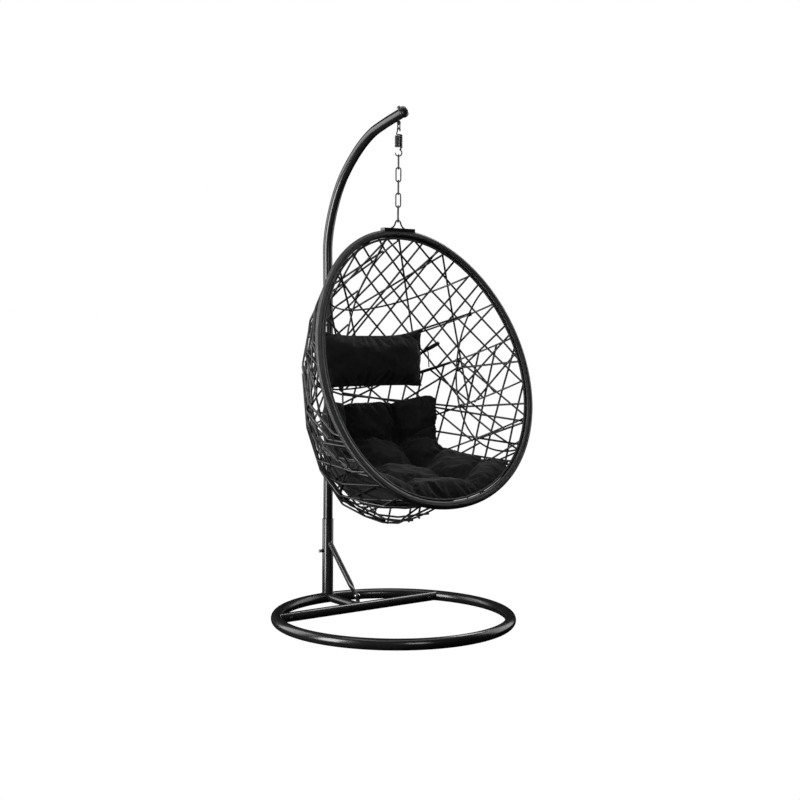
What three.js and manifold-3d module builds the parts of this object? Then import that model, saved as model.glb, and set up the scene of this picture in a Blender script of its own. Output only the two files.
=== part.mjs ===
// Hanging egg chair: a ring base with a curved arm, a spring and chain, and a woven egg-shaped basket.
// Millimetres, +Z up. Origin on the floor at the centre of the base ring. The chair faces -Y.
import * as THREE from "three";
import { mergeVertices } from "three/addons/utils/BufferGeometryUtils.js";
import Module from "manifold-3d";

const wasm = await Module();
wasm.setup();

const V = (x, y, z) => new THREE.Vector3(x, y, z);
const rad = THREE.MathUtils.degToRad;
const X_AXIS = V(1, 0, 0);
const Y_AXIS = V(0, 1, 0);
const Z_AXIS = V(0, 0, 1);

// ---- driving dimensions -------------------------------------------------------------------------
const GAP = 0.3; // clearance between touching pieces

const RING_RADIUS = 447; // centre line of the base ring
const RING_TUBE = 21; // radius of the ring's tube
const RING_WALL = 1.6;
const RING_JOINT = 79; // degrees from the back to each joint of the ring
const SLEEVE_LENGTH = 110;
const SLEEVE_WALL = 2;
const SLEEVE_CLEARANCE = 1.2; // between a sleeve and the ring's bore, for the facets of both
const CUT_CLEARANCE = 2; // between the ring and what ends against it, for the same reason

const BAR_Y = 222; // cross bar behind the centre of the ring
const BAR_TUBE = 18.5;
const BAR_WALL = 1.6;
const SPIGOT_LENGTH = 60; // stub on the ring that enters each end of the cross bar
const SPIGOT_CLEARANCE = 0.6;
const BAR_END = 24; // from the ring's centre line to the end of the cross bar
const BAR_BOLT_INSET = 30; // from the end of the cross bar to its bolt
const M6 = { shank: 3, head: 6, headHeight: 4, nut: 5, nutHeight: 5, past: 9 }; // radii and heights
const SEAT_GAP = 0.5; // under the heads and nuts of bolts
const SPUR_TUBE = 16;

const POLE_Y = 450; // the pole stands on the back of the ring
const SOCKET_TUBE = 22.5;
const SOCKET_WALL = 2.7;
const SOCKET_TOP = 345;
const ARM_TUBE = 19;
const ARM_WALL = 2.5;
const ARM_FOOT = 180; // lower end of the arm, inside the socket
const LOCK_SCREW_Z = 215;
const LOCK_SCREW = { shank: 4, head: 7, headHeight: 6, nut: 6.5, nutHeight: 7, length: 22.3 };

const BRACE_TUBE = 11;
const BRACE_WALL = 1.5;
const BRACE_TOP = V(0, 440, 252); // on the brace's axis, inside the socket's surface
const BRACE_FOOT = V(0, 266, 79); // where the brace's tube is flattened
const BRACE_BOLT = V(0, 247, 60);
const LUG_FOOT = V(0, 241, 24); // inside the spur, where the brace's lug starts
const TONGUE = 5; // thickness of the flattened end and of the lug beside it
const TONGUE_WIDTH = 20;

const HANG_Y = -8; // vertical line that the basket hangs on
const ARM_TIP_Y = -33;
const EYE_WIRE = 2.5; // radius of the eye bolt's shank and eye
const EYE_Z = 1893; // centre of the eye
const EYE_RADIUS = 6.6;
const EYE_FIXING = { washer: 9, washerHeight: 1.6, washerLift: 4.5, nut: 5.5, nutHeight: 5, past: 3 };

const LINK_YAW = -31; // the chain hangs turned by this much about the vertical
const TOP_LINK_WIRE = 2.25;
const TOP_LINK_WIDTH = 18;
const TOP_LINK_LENGTH = 27;

const SPRING_WIRE = 2.4;
const SPRING_RADIUS = 12.6; // centre line of the coil
const SPRING_TOP = 1848;
const SPRING_BOTTOM = 1801;
const SPRING_TURNS = 8.5;
const TOP_HOOK_RADIUS = 6.5; // centre line of the hook above the coil
const HOOK_RADIUS = 12.3; // centre line of the hook under the coil
const HOOK_Z = 1781.3;

const CHAIN_WIRE = 2.5;
const CHAIN_WIDTH = 23;
const CHAIN_LENGTH = 58;
const CHAIN_COUNT = 4;

const SNAP_WIRE = 2.75;
const SNAP_WIDTH = 27;
const SNAP_LENGTH = 66;
const SNAP_GATE = [-17, 10]; // the gate's pivot and tip, measured up from the middle of the hook
const GATE_PIN = 1; // radius
const GATE_BAR = 2.3; // radius
const GATE_TAB = 2.4; // thickness of the gate's flat end on the pin

const HANGER_WIRE = 3;
const HANGER_BEND = 12; // centre line of the bend at its top
const HANGER_LEG_X = 22; // half the width between the legs where they reach the plate
const HANGER_PLATE_X = 72; // half the length of the plate that lies along the rim
const HANGER_PLATE = 4;

const RIM_TILT = 19; // degrees that the mouth leans back from vertical
const RIM_TOP_Z = 1480; // centre of the rim at the top
const RIM_LENGTH = 1046; // top to bottom, along the mouth
const RIM_WIDTH = 942;
const RIM_EGG = 0.06; // how much wider the rim is below its middle
const RIM_POWER = 0.96;
const RIM_BOW = 20; // how far the mouth bows forward at its middle
const RIM_TUBE = 15; // radius of the wrapped rim
const BEAD_WIRE = 4.5;
const BEAD_OFFSET = 20.2; // from the rim's centre line to the bead's, inwards

const SHELL_DEPTH = 620;
const SHELL_DEEPEST = 0.615; // where down the mouth the basket is deepest
const SHELL_FULLNESS = 0.31;
const SHELL_SIDE_POWER = 1.6; // the hoops are nearly parabolas
const HOOP_LEAN = 4; // degrees that the middle hoop dips below the mouth's normal
const HOOP_LEAN_CHANGE = 5.6; // and how much that grows from top to bottom
const HOOP_LEVELS = [0.143, 0.258, 0.396, 0.564, 0.709, 0.835];
const RIB_X = [-368, 0, 368];
const RIB_NAMES = ["cage_rib_left", "cage_rib_middle", "cage_rib_right"];
const ROD = 3.5; // radius of the cage rods
const WEAVE = 1.6; // thickness of the woven skin
const HOOP_INSET = 10.5; // how far inside the skin's outer face each layer sits
const RIB_INSET = 20.5;
const CUSHION_INSET = 29;
const INSET_SCALE = 450; // the insets are made by scaling about a point this far from the skin

const CUSHION_TOP = 862; // height of the top of the seat cushion's back
const CUSHION_HALF = 285; // half the width of its back
const CUSHION_BACK = 72; // thickness of its back
const CUSHION_FRONT = 20; // clearance behind the mouth
// Its underside leaves the weave along this line of y and z, and rises behind the sitter.
const CUSHION_HEEL = [[0, 410], [180, 640]];
// Its upper surface, from the top of the back down to the front of the seat: y and z along the
// middle, then along each side, which is also how far out the side is.
const CUSHION_MIDDLE = [[195, 880], [172, 800], [125, 720], [70, 655], [-40, 590], [-160, 562], [-300, 545]];
const CUSHION_SIDE = [
  [275, 100, 880],
  [285, 85, 800],
  [300, 60, 735],
  [330, 10, 690],
  [352, -90, 660],
  [362, -190, 645],
  [365, -320, 635],
];

const PILLOW_SIZE = [500, 88, 225];
const PILLOW_AT = [0, 158, 992];
const PILLOW_LEAN = 6; // degrees that its top leans back
const TIE = 2.5; // radius of the pillow's ties
const TIE_KNOT = 6; // radius
const TIE_Z = 1026;
const TIE_END = [305, 123, 1064]; // where the right tie passes through the weave
const TIE_TAIL = 70; // free length below the knot

const BLACK_STEEL = { color: 0x101010, roughness: 0.28, metalness: 0.3 };
const BLACK_WICKER = { color: 0x151515, roughness: 0.45, metalness: 0 };
const ZINC = { color: 0x4a4a4c, roughness: 0.35, metalness: 0.9 };
const BLACK_PLASTIC = { color: 0x0c0c0c, roughness: 0.3, metalness: 0 };
const BLACK_FABRIC = { color: 0x131313, roughness: 0.95, metalness: 0 };

const chair = new THREE.Group();

// ---- helpers ------------------------------------------------------------------------------------
function addPart(name, geometry, look) {
  const mesh = new THREE.Mesh(geometry, new THREE.MeshStandardMaterial(look));
  mesh.name = name;
  chair.add(mesh);
  return mesh;
}

function toSolid(geometry) {
  const g = geometry.clone();
  g.deleteAttribute("normal");
  g.deleteAttribute("uv");
  const merged = mergeVertices(g, 1e-3);
  const vertProperties = new Float32Array(merged.attributes.position.array);
  const triVerts = new Uint32Array(merged.index.array);
  return new wasm.Manifold(new wasm.Mesh({ numProp: 3, vertProperties, triVerts }));
}

function fromSolid(solid) {
  const mesh = solid.getMesh();
  const g = new THREE.BufferGeometry();
  g.setAttribute("position", new THREE.BufferAttribute(mesh.vertProperties, 3));
  g.setIndex(new THREE.BufferAttribute(mesh.triVerts, 1));
  return g;
}

function cut(geometry, ...cutters) {
  return fromSolid(cutters.reduce((solid, c) => solid.subtract(toSolid(c)), toSolid(geometry)));
}

function join(...geometries) {
  const solids = geometries.map(toSolid);
  return fromSolid(solids.reduce((all, s) => all.add(s)));
}

// A circle with straight facets, one of them facing down, and a hole of its own when bore > 0.
function section(radius, sides, bore = 0) {
  const turn = Math.PI / sides;
  const circle = (r) =>
    Array.from({ length: sides }, (_, i) => {
      const a = turn + (2 * Math.PI * i) / sides;
      return new THREE.Vector2(r * Math.cos(a), r * Math.sin(a));
    });
  const shape = new THREE.Shape(circle(radius));
  if (bore > 0) shape.holes.push(new THREE.Path(circle(bore)));
  return shape;
}

function tubeAlong(curve, steps, radius, sides, bore = 0) {
  return new THREE.ExtrudeGeometry(section(radius, sides, bore), { steps, extrudePath: curve });
}

function straightTube(from, to, radius, sides, bore = 0) {
  return tubeAlong(new THREE.LineCurve3(from, to), 1, radius, sides, bore);
}

// A rod of circular section swept along points, with the section kept square to the path.
// closed: the last point joins the first. fixed: a direction that the section never turns about.
// tangents: the path's direction at each point, where the points alone don't give it closely enough.
function sweep(points, radius, sides, closed, fixed, tangents = null) {
  const n = points.length;
  const position = [];
  const index = [];
  points.forEach((p, i) => {
    const before = points[closed ? (i - 1 + n) % n : Math.max(i - 1, 0)];
    const after = points[closed ? (i + 1) % n : Math.min(i + 1, n - 1)];
    const tangent = tangents ? tangents[i] : after.clone().sub(before).normalize();
    const side = fixed.clone().cross(tangent).normalize();
    const up = tangent.clone().cross(side);
    for (let k = 0; k < sides; k++) {
      const a = (2 * Math.PI * (k + 0.5)) / sides;
      const q = p.clone().addScaledVector(side, radius * Math.cos(a));
      q.addScaledVector(up, radius * Math.sin(a));
      position.push(q.x, q.y, q.z);
    }
  });
  const rings = closed ? n : n - 1;
  for (let i = 0; i < rings; i++) {
    const a = i * sides;
    const b = ((i + 1) % n) * sides;
    for (let k = 0; k < sides; k++) {
      const m = (k + 1) % sides;
      index.push(a + k, a + m, b + m, a + k, b + m, b + k);
    }
  }
  if (!closed) {
    for (let k = 1; k < sides - 1; k++) {
      index.push(0, k + 1, k);
      index.push((n - 1) * sides, (n - 1) * sides + k, (n - 1) * sides + k + 1);
    }
  }
  const g = new THREE.BufferGeometry();
  g.setAttribute("position", new THREE.BufferAttribute(new Float32Array(position), 3));
  g.setIndex(index);
  return g;
}

// A cylinder whose axis runs from one point to another.
function rod(from, to, radius, sides) {
  const axis = to.clone().sub(from);
  const g = new THREE.CylinderGeometry(radius, radius, axis.length(), sides);
  g.applyQuaternion(new THREE.Quaternion().setFromUnitVectors(Y_AXIS, axis.clone().normalize()));
  const mid = from.clone().add(to).multiplyScalar(0.5);
  return g.translate(mid.x, mid.y, mid.z);
}

// ---- base ---------------------------------------------------------------------------------------
class RingArc extends THREE.Curve {
  constructor(fromDeg, toDeg) {
    super();
    this.from = rad(fromDeg);
    this.to = rad(toDeg);
  }
  // Angles run from the back of the ring, positive towards +X.
  getPoint(t, target = new THREE.Vector3()) {
    const a = this.from + (this.to - this.from) * t;
    return target.set(RING_RADIUS * Math.sin(a), RING_RADIUS * Math.cos(a), RING_TUBE);
  }
}

function ringPiece(fromDeg, toDeg, steps, radius, bore, sides) {
  const arc = new RingArc(fromDeg, toDeg);
  const tubeOf = (from, to, r) => {
    const at = Array.from({ length: to - from + 1 }, (_, i) => (from + i) / steps);
    const points = at.map((t) => arc.getPoint(t));
    const tangents = at.map((t) => arc.getPoint(t + 1e-4).sub(arc.getPoint(t - 1e-4)).normalize());
    return sweep(points, r / Math.cos(Math.PI / sides), sides, false, Z_AXIS, tangents);
  };
  return cut(tubeOf(0, steps, radius), tubeOf(-1, steps + 1, bore));
}

function addRing() {
  const gapDeg = THREE.MathUtils.radToDeg((2 * GAP) / RING_RADIUS);
  const bore = RING_TUBE - RING_WALL;
  const sides = 12;
  const rear = ringPiece(-RING_JOINT, RING_JOINT, 20, RING_TUBE, bore, sides);
  const front = ringPiece(RING_JOINT + gapDeg, 360 - RING_JOINT - gapDeg, 26, RING_TUBE, bore, sides);
  addPart("ring_rear_arc", rear, BLACK_STEEL);
  addPart("ring_front_arc", front, BLACK_STEEL);
  const halfSleeve = THREE.MathUtils.radToDeg(SLEEVE_LENGTH / 2 / RING_RADIUS);
  const outer = bore - SLEEVE_CLEARANCE;
  for (const [name, side] of [["ring_sleeve_left", -1], ["ring_sleeve_right", 1]]) {
    const a = side * RING_JOINT;
    const sleeve = ringPiece(a - halfSleeve, a + halfSleeve, 3, outer, outer - SLEEVE_WALL, sides);
    addPart(name, sleeve, ZINC);
  }
}

// Half the length of the cross bar's axis, up to the inside of the ring.
const BAR_REACH = Math.sqrt(RING_RADIUS ** 2 - BAR_Y ** 2);

// The ring's tube with the clearance that its facets need.
function ringCutter() {
  return new THREE.TorusGeometry(RING_RADIUS, RING_TUBE + CUT_CLEARANCE, 14, 72).translate(0, 0, RING_TUBE);
}

function socketCutter() {
  return rod(V(0, POLE_Y, 0), V(0, POLE_Y, SOCKET_TOP), SOCKET_TUBE + GAP, 40);
}

function boltHole(x) {
  return rod(V(x, BAR_Y - 40, RING_TUBE), V(x, BAR_Y + 40, RING_TUBE), M6.shank + GAP, 12);
}

function addCrossBar() {
  const boltX = BAR_REACH - BAR_END - BAR_BOLT_INSET;
  const from = V(-BAR_REACH, BAR_Y, RING_TUBE);
  const to = V(BAR_REACH, BAR_Y, RING_TUBE);
  const tube = straightTube(from, to, BAR_TUBE, 16, BAR_TUBE - BAR_WALL);
  addPart("cross_bar", cut(tube, ringCutter(), boltHole(-boltX), boltHole(boltX)), BLACK_STEEL);
  const outer = BAR_TUBE - BAR_WALL - SPIGOT_CLEARANCE;
  for (const [side, name] of [[-1, "left"], [1, "right"]]) {
    const near = V(side * (BAR_REACH - BAR_END - SPIGOT_LENGTH), BAR_Y, RING_TUBE);
    const spigot = straightTube(near, V(side * BAR_REACH, BAR_Y, RING_TUBE), outer, 16, outer - BAR_WALL);
    addPart(`bar_spigot_${name}`, cut(spigot, ringCutter(), boltHole(side * boltX)), BLACK_STEEL);
    const front = V(side * boltX, BAR_Y - BAR_TUBE - SEAT_GAP, RING_TUBE);
    const back = V(side * boltX, BAR_Y + BAR_TUBE + SEAT_GAP, RING_TUBE);
    addPart(`bar_bolt_${name}`, bolt(front, back), ZINC);
    addPart(`bar_nut_${name}`, hexNut(back, Y_AXIS, M6.nutHeight, M6.nut), ZINC);
  }
}

// A bolt from the underside of its head to the near face of its nut.
function bolt(headFace, nutFace) {
  const axis = nutFace.clone().sub(headFace).normalize();
  const headTop = headFace.clone().addScaledVector(axis, -M6.headHeight);
  const inHead = headFace.clone().addScaledVector(axis, -1);
  const end = nutFace.clone().addScaledVector(axis, M6.past);
  return join(rod(inHead, end, M6.shank, 12), rod(headTop, headFace, M6.head, 16));
}

// A hexagon nut with a clear hole, its near face at the given point.
function hexNut(at, axis, thickness, flatsRadius, hole = M6.shank + GAP) {
  const corner = flatsRadius / Math.cos(Math.PI / 6);
  const far = at.clone().addScaledVector(axis, thickness);
  const before = at.clone().addScaledVector(axis, -1);
  const after = far.clone().addScaledVector(axis, 1);
  return cut(rod(at, far, corner, 6), rod(before, after, hole, 12));
}

function barCutter() {
  return rod(V(-60, BAR_Y, RING_TUBE), V(60, BAR_Y, RING_TUBE), BAR_TUBE + GAP, 40);
}

function spurCutter() {
  return rod(V(0, BAR_Y, RING_TUBE), V(0, POLE_Y, RING_TUBE), SPUR_TUBE + GAP, 24);
}

function addSpur() {
  const from = V(0, BAR_Y, RING_TUBE);
  const to = V(0, POLE_Y, RING_TUBE);
  const tube = straightTube(from, to, SPUR_TUBE, 14, SPUR_TUBE - BAR_WALL);
  addPart("spur_tube", cut(tube, ringCutter(), socketCutter(), barCutter()), BLACK_STEEL);
}

// ---- pole, brace and arm ------------------------------------------------------------------------
function addPoleSocket() {
  const bore = SOCKET_TUBE - SOCKET_WALL;
  const tube = straightTube(V(0, POLE_Y, RING_TUBE), V(0, POLE_Y, SOCKET_TOP), SOCKET_TUBE, 20, bore);
  const clear = LOCK_SCREW.shank + GAP;
  const screwHole = rod(V(-60, POLE_Y, LOCK_SCREW_Z), V(0, POLE_Y, LOCK_SCREW_Z), clear, 12);
  addPart("pole_socket", cut(tube, ringCutter(), screwHole), BLACK_STEEL);
}

// A flat end with a round tip: a plate in the YZ plane between two points.
function tongue(from, to, x0, thickness) {
  const along = to.clone().sub(from);
  const plate = new THREE.BoxGeometry(thickness, along.length(), TONGUE_WIDTH);
  plate.applyQuaternion(new THREE.Quaternion().setFromUnitVectors(Y_AXIS, along.clone().normalize()));
  const middle = from.clone().add(to).multiplyScalar(0.5);
  plate.translate(x0 + thickness / 2, middle.y, middle.z);
  const tip = rod(V(x0, to.y, to.z), V(x0 + thickness, to.y, to.z), TONGUE_WIDTH / 2, 20);
  return join(plate, tip);
}

function addBrace() {
  const on = (x) => V(x, BRACE_BOLT.y, BRACE_BOLT.z);
  const hole = rod(on(-30), on(30), M6.shank + GAP, 12);
  const tube = straightTube(BRACE_TOP, BRACE_FOOT, BRACE_TUBE, 12);
  const boreEnd = BRACE_FOOT.clone().add(V(0, 8, 8));
  const bore = straightTube(BRACE_TOP, boreEnd, BRACE_TUBE - BRACE_WALL, 12);
  const flat = tongue(BRACE_FOOT.clone().add(V(0, 5, 5)), BRACE_BOLT, -TONGUE / 2, TONGUE);
  addPart("brace_tube", cut(join(cut(tube, bore), flat), socketCutter(), hole), BLACK_STEEL);
  const lugX = TONGUE / 2 + SEAT_GAP;
  const lug = tongue(LUG_FOOT, BRACE_BOLT, lugX, TONGUE);
  addPart("brace_lug", cut(lug, barCutter(), hole, spurCutter()), BLACK_STEEL);
  const nutX = lugX + TONGUE + SEAT_GAP;
  addPart("brace_bolt", bolt(on(-TONGUE / 2 - SEAT_GAP), on(nutX)), ZINC);
  addPart("brace_nut", hexNut(on(nutX), X_AXIS, M6.nutHeight, M6.nut), ZINC);
}

// The screw that clamps the arm in the socket, and the nut welded to the socket for it.
function addLockScrew() {
  const { shank, head, headHeight, nut, nutHeight, length } = LOCK_SCREW;
  const on = (x) => V(x, POLE_Y, LOCK_SCREW_Z);
  const tip = -(ARM_TUBE + SEAT_GAP);
  const nutFace = -(SOCKET_TUBE + GAP);
  const end = tip - length;
  addPart("lock_nut", hexNut(on(nutFace), V(-1, 0, 0), nutHeight, nut, shank + GAP), BLACK_STEEL);
  const screw = join(rod(on(tip), on(end + 1), shank, 12), rod(on(end + headHeight), on(end), head, 6));
  addPart("lock_screw", screw, ZINC);
}

// The arm's centre line: up the pole, then forward in an arc and a short straight run to the tip.
const ARM_POINTS = [
  V(0, POLE_Y, ARM_FOOT),
  V(0, POLE_Y, 700),
  V(0, POLE_Y + 4, 1150),
  V(0, POLE_Y + 10, 1350),
  V(0, POLE_Y + 9, 1475),
  V(0, 425, 1594),
  V(0, 362, 1708),
  V(0, 258, 1812),
  V(0, 165, 1871),
  V(0, 90, 1897),
  V(0, ARM_TIP_Y, 1929),
];

function armCurve() {
  return new THREE.CatmullRomCurve3(ARM_POINTS, false, "centripetal");
}

// The point and direction of the arm's centre line at a given y near its tip.
function armAt(y) {
  const points = armCurve().getPoints(400);
  const i = points.findLastIndex((p) => p.y > y);
  const t = (points[i].y - y) / (points[i].y - points[i + 1].y);
  const direction = points[i + 1].clone().sub(points[i]).normalize();
  return { at: points[i].clone().lerp(points[i + 1], t), direction };
}

function addArm() {
  const points = armCurve().getSpacedPoints(20);
  const outer = sweep(points, ARM_TUBE, 12, false, X_AXIS);
  const ahead = points.at(-1).clone().sub(points.at(-2)).setLength(5).add(points.at(-1));
  const below = points[0].clone().add(V(0, 0, -5));
  const inner = sweep([below, ...points, ahead], ARM_TUBE - ARM_WALL, 12, false, X_AXIS);
  const eyeHole = rod(V(0, HANG_Y, 1850), V(0, HANG_Y, 1980), EYE_WIRE + GAP, 12);
  addPart("hanging_arm", cut(outer, inner, eyeHole), BLACK_STEEL);
}

function addArmCap() {
  const { direction } = armAt(ARM_TIP_Y + 2);
  const tip = ARM_POINTS.at(-1);
  const plug = ARM_TUBE - ARM_WALL - 1;
  const profile = [
    [0, -12],
    [plug, -12],
    [plug, GAP],
    [22, GAP],
    [22, 5],
    [20.5, 9],
    [16, 13],
    [9, 15.5],
    [0, 16.5],
  ].map(([r, z]) => new THREE.Vector2(r, z));
  const cap = new THREE.LatheGeometry(profile, 20);
  cap.applyQuaternion(new THREE.Quaternion().setFromUnitVectors(Y_AXIS, direction));
  addPart("arm_end_cap", cap.translate(tip.x, tip.y, tip.z), BLACK_PLASTIC);
}

// ---- suspension ---------------------------------------------------------------------------------
// A closed link in the vertical plane turned by yaw: two straight sides and two round ends.
function linkPoints(width, length, wire, arcSteps) {
  const r = width / 2 - wire;
  const half = length / 2 - wire - r;
  const points = [];
  for (const [centre, start] of [[half, 0], [-half, Math.PI]]) {
    for (let i = 0; i <= arcSteps; i++) {
      const a = start + (Math.PI * i) / arcSteps;
      points.push(V(r * Math.cos(a), 0, centre + r * Math.sin(a)));
    }
  }
  return points;
}

// Moves a shape from the XZ plane at the origin to the hang line, turned about the vertical.
function onHangLine(geometry, yawDeg, z) {
  return geometry.rotateZ(rad(yawDeg)).translate(0, HANG_Y, z);
}

function addEyeBolt() {
  const { washer, washerHeight, washerLift, nut, nutHeight, past } = EYE_FIXING;
  const { at, direction } = armAt(HANG_Y);
  const washerZ = at.z + ARM_TUBE / Math.abs(direction.y) + washerLift;
  const nutZ = washerZ + washerHeight + GAP;
  const eyePoints = Array.from({ length: 16 }, (_, i) => {
    const a = (2 * Math.PI * i) / 16;
    return V(EYE_RADIUS * Math.cos(a), 0, EYE_RADIUS * Math.sin(a));
  });
  const eye = onHangLine(sweep(eyePoints, EYE_WIRE, 8, true, Y_AXIS), 0, EYE_Z);
  const on = (z) => V(0, HANG_Y, z);
  const shank = rod(on(EYE_Z + EYE_RADIUS), on(nutZ + nutHeight + past), EYE_WIRE, 12);
  addPart("eye_bolt", join(eye, shank), ZINC);
  const disc = rod(on(washerZ), on(washerZ + washerHeight), washer, 20);
  const hole = rod(on(washerZ - 1), on(nutZ), EYE_WIRE + GAP, 12);
  addPart("eye_bolt_washer", cut(disc, hole), ZINC);
  addPart("eye_bolt_nut", hexNut(on(nutZ), Z_AXIS, nutHeight, nut, EYE_WIRE + GAP), ZINC);
}

// Each wire that hangs in another sits this far above it, centre to centre.
function seatOn(lowerWire, upperWire) {
  return lowerWire + upperWire + GAP;
}

const TOP_LINK_TOP = EYE_Z - EYE_RADIUS + seatOn(EYE_WIRE, TOP_LINK_WIRE);
const TOP_LINK_BOTTOM = TOP_LINK_TOP - (TOP_LINK_LENGTH - 2 * TOP_LINK_WIRE);
const SPRING_HOOK_TOP = TOP_LINK_BOTTOM + seatOn(TOP_LINK_WIRE, SPRING_WIRE) + GAP;
const LOWER_HOOK_BOTTOM = HOOK_Z - HOOK_RADIUS;
const CHAIN_DROP = CHAIN_LENGTH - 2 * CHAIN_WIRE;
const FIRST_LINK_TOP = LOWER_HOOK_BOTTOM + seatOn(SPRING_WIRE, CHAIN_WIRE);
const linkTop = (i) => FIRST_LINK_TOP - i * (CHAIN_DROP - seatOn(CHAIN_WIRE, CHAIN_WIRE));
const SNAP_TOP = linkTop(CHAIN_COUNT - 1) - CHAIN_DROP + seatOn(CHAIN_WIRE, SNAP_WIRE);
const SNAP_Z = SNAP_TOP + SNAP_WIRE - SNAP_LENGTH / 2;
const SNAP_BOTTOM = SNAP_Z - SNAP_LENGTH / 2 + SNAP_WIRE;
const HANGER_TOP = SNAP_BOTTOM + seatOn(SNAP_WIRE, HANGER_WIRE) + 2 * GAP;

function addTopLink() {
  const points = linkPoints(TOP_LINK_WIDTH, TOP_LINK_LENGTH, TOP_LINK_WIRE, 6);
  const middle = (TOP_LINK_TOP + TOP_LINK_BOTTOM) / 2;
  addPart("top_link", onHangLine(sweep(points, TOP_LINK_WIRE, 6, true, Y_AXIS), 90, middle), ZINC);
}

// One wire: a hook at the top, then close turns down to the bottom of the coil.
function addSpring() {
  const points = [];
  const hookZ = SPRING_HOOK_TOP - TOP_HOOK_RADIUS;
  for (let i = 0; i <= 9; i++) {
    const a = rad(-50 + (230 * i) / 9);
    points.push(V(TOP_HOOK_RADIUS * Math.cos(a), 0, hookZ + TOP_HOOK_RADIUS * Math.sin(a)));
  }
  points.push(V(-TOP_HOOK_RADIUS, 0, hookZ - 6));
  points.push(V(-SPRING_RADIUS * 0.8, 0, SPRING_TOP + 4));
  const perTurn = 8;
  const steps = Math.round(SPRING_TURNS * perTurn);
  for (let i = 0; i <= steps; i++) {
    const a = Math.PI + rad(20) + (2 * Math.PI * i) / perTurn;
    const z = SPRING_TOP + ((SPRING_BOTTOM - SPRING_TOP) * i) / steps;
    points.push(V(SPRING_RADIUS * Math.cos(a), SPRING_RADIUS * Math.sin(a), z));
  }
  const curve = new THREE.CatmullRomCurve3(points, false, "centripetal");
  const wire = tubeAlong(curve, points.length + 6, SPRING_WIRE, 6);
  addPart("spring", onHangLine(wire, 0, 0), ZINC);
}

// The open hook under the coil; its mouth is on the left.
function addLowerHook() {
  const points = [V(SPRING_RADIUS * 0.2, 0, SPRING_BOTTOM - 2 * SPRING_WIRE - GAP)];
  for (let i = 0; i <= 12; i++) {
    const a = rad(70 - (250 * i) / 12);
    points.push(V(HOOK_RADIUS * Math.cos(a), 0, HOOK_Z + HOOK_RADIUS * Math.sin(a)));
  }
  const wire = sweep(points, SPRING_WIRE, 8, false, Y_AXIS);
  addPart("spring_lower_hook", onHangLine(wire, LINK_YAW, 0), ZINC);
}

function addChain() {
  for (let i = 0; i < CHAIN_COUNT; i++) {
    const points = linkPoints(CHAIN_WIDTH, CHAIN_LENGTH, CHAIN_WIRE, 6);
    const yaw = i % 2 === 0 ? LINK_YAW + 90 : LINK_YAW;
    const middle = linkTop(i) - CHAIN_DROP / 2;
    const link = onHangLine(sweep(points, CHAIN_WIRE, 6, true, Y_AXIS), yaw, middle);
    addPart(`chain_link_${i + 1}`, link, ZINC);
  }
}

// A snap hook: an open link whose gap is closed by a sprung gate on a pin.
function addSnapHook() {
  const yaw = LINK_YAW + 90;
  const r = SNAP_WIDTH / 2 - SNAP_WIRE;
  const half = SNAP_LENGTH / 2 - SNAP_WIRE - r;
  const [pivot, tip] = SNAP_GATE;
  const points = [V(-r, 0, tip + 5)];
  for (let i = 0; i <= 7; i++) {
    const a = Math.PI - (Math.PI * i) / 7;
    points.push(V(r * Math.cos(a), 0, half + r * Math.sin(a)));
  }
  for (let i = 0; i <= 7; i++) {
    const a = -(Math.PI * i) / 7;
    points.push(V(r * Math.cos(a), 0, -half + r * Math.sin(a)));
  }
  points.push(V(-r, 0, pivot + 4));
  const pinHole = rod(V(-r, -9, pivot), V(-r, 9, pivot), GATE_PIN + 0.25, 10);
  const slot = new THREE.BoxGeometry(12, GATE_TAB + 2 * GAP, 12).translate(-r, 0, pivot + 3);
  const body = cut(sweep(points, SNAP_WIRE, 10, false, Y_AXIS), pinHole, slot);
  addPart("snap_hook", onHangLine(body, yaw, SNAP_Z), ZINC);
  const pin = rod(V(-r, -3.4, pivot), V(-r, 3.4, pivot), GATE_PIN, 10);
  addPart("snap_gate_pin", onHangLine(pin, yaw, SNAP_Z), ZINC);
  const bar = rod(V(-r, 0, pivot + 5), V(-r, 0, tip + 5 - 2 * GAP), GATE_BAR, 10);
  const tab = new THREE.BoxGeometry(3.4, GATE_TAB, 8).translate(-r, 0, pivot + 2.4);
  addPart("snap_gate", onHangLine(cut(join(bar, tab), pinHole), yaw, SNAP_Z), ZINC);
}

// ---- basket -------------------------------------------------------------------------------------
const TILT = rad(RIM_TILT);
const DOWN = V(0, -Math.sin(TILT), -Math.cos(TILT)); // along the mouth, towards its bottom
const BACK = V(0, Math.cos(TILT), -Math.sin(TILT)); // square to the mouth, into the basket
const RIM_TOP = V(0, HANG_Y, RIM_TOP_Z);

// Half the width of the mouth at level t, from 0 at the top to 1 at the bottom.
function halfWidth(t) {
  const c = 1 - 2 * t;
  const s = Math.sqrt(Math.max(0, 1 - c * c));
  return (RIM_WIDTH / 2) * s ** RIM_POWER * (1 - RIM_EGG * c);
}

// The middle of the mouth at level t.
function mouthCentre(t) {
  return RIM_TOP.clone()
    .addScaledVector(DOWN, RIM_LENGTH * t)
    .addScaledVector(BACK, -RIM_BOW * 4 * t * (1 - t));
}

function hoopDepth(t) {
  const level = t ** (Math.log(0.5) / Math.log(SHELL_DEEPEST));
  return SHELL_DEPTH * Math.max(0, 4 * level * (1 - level)) ** SHELL_FULLNESS;
}

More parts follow.
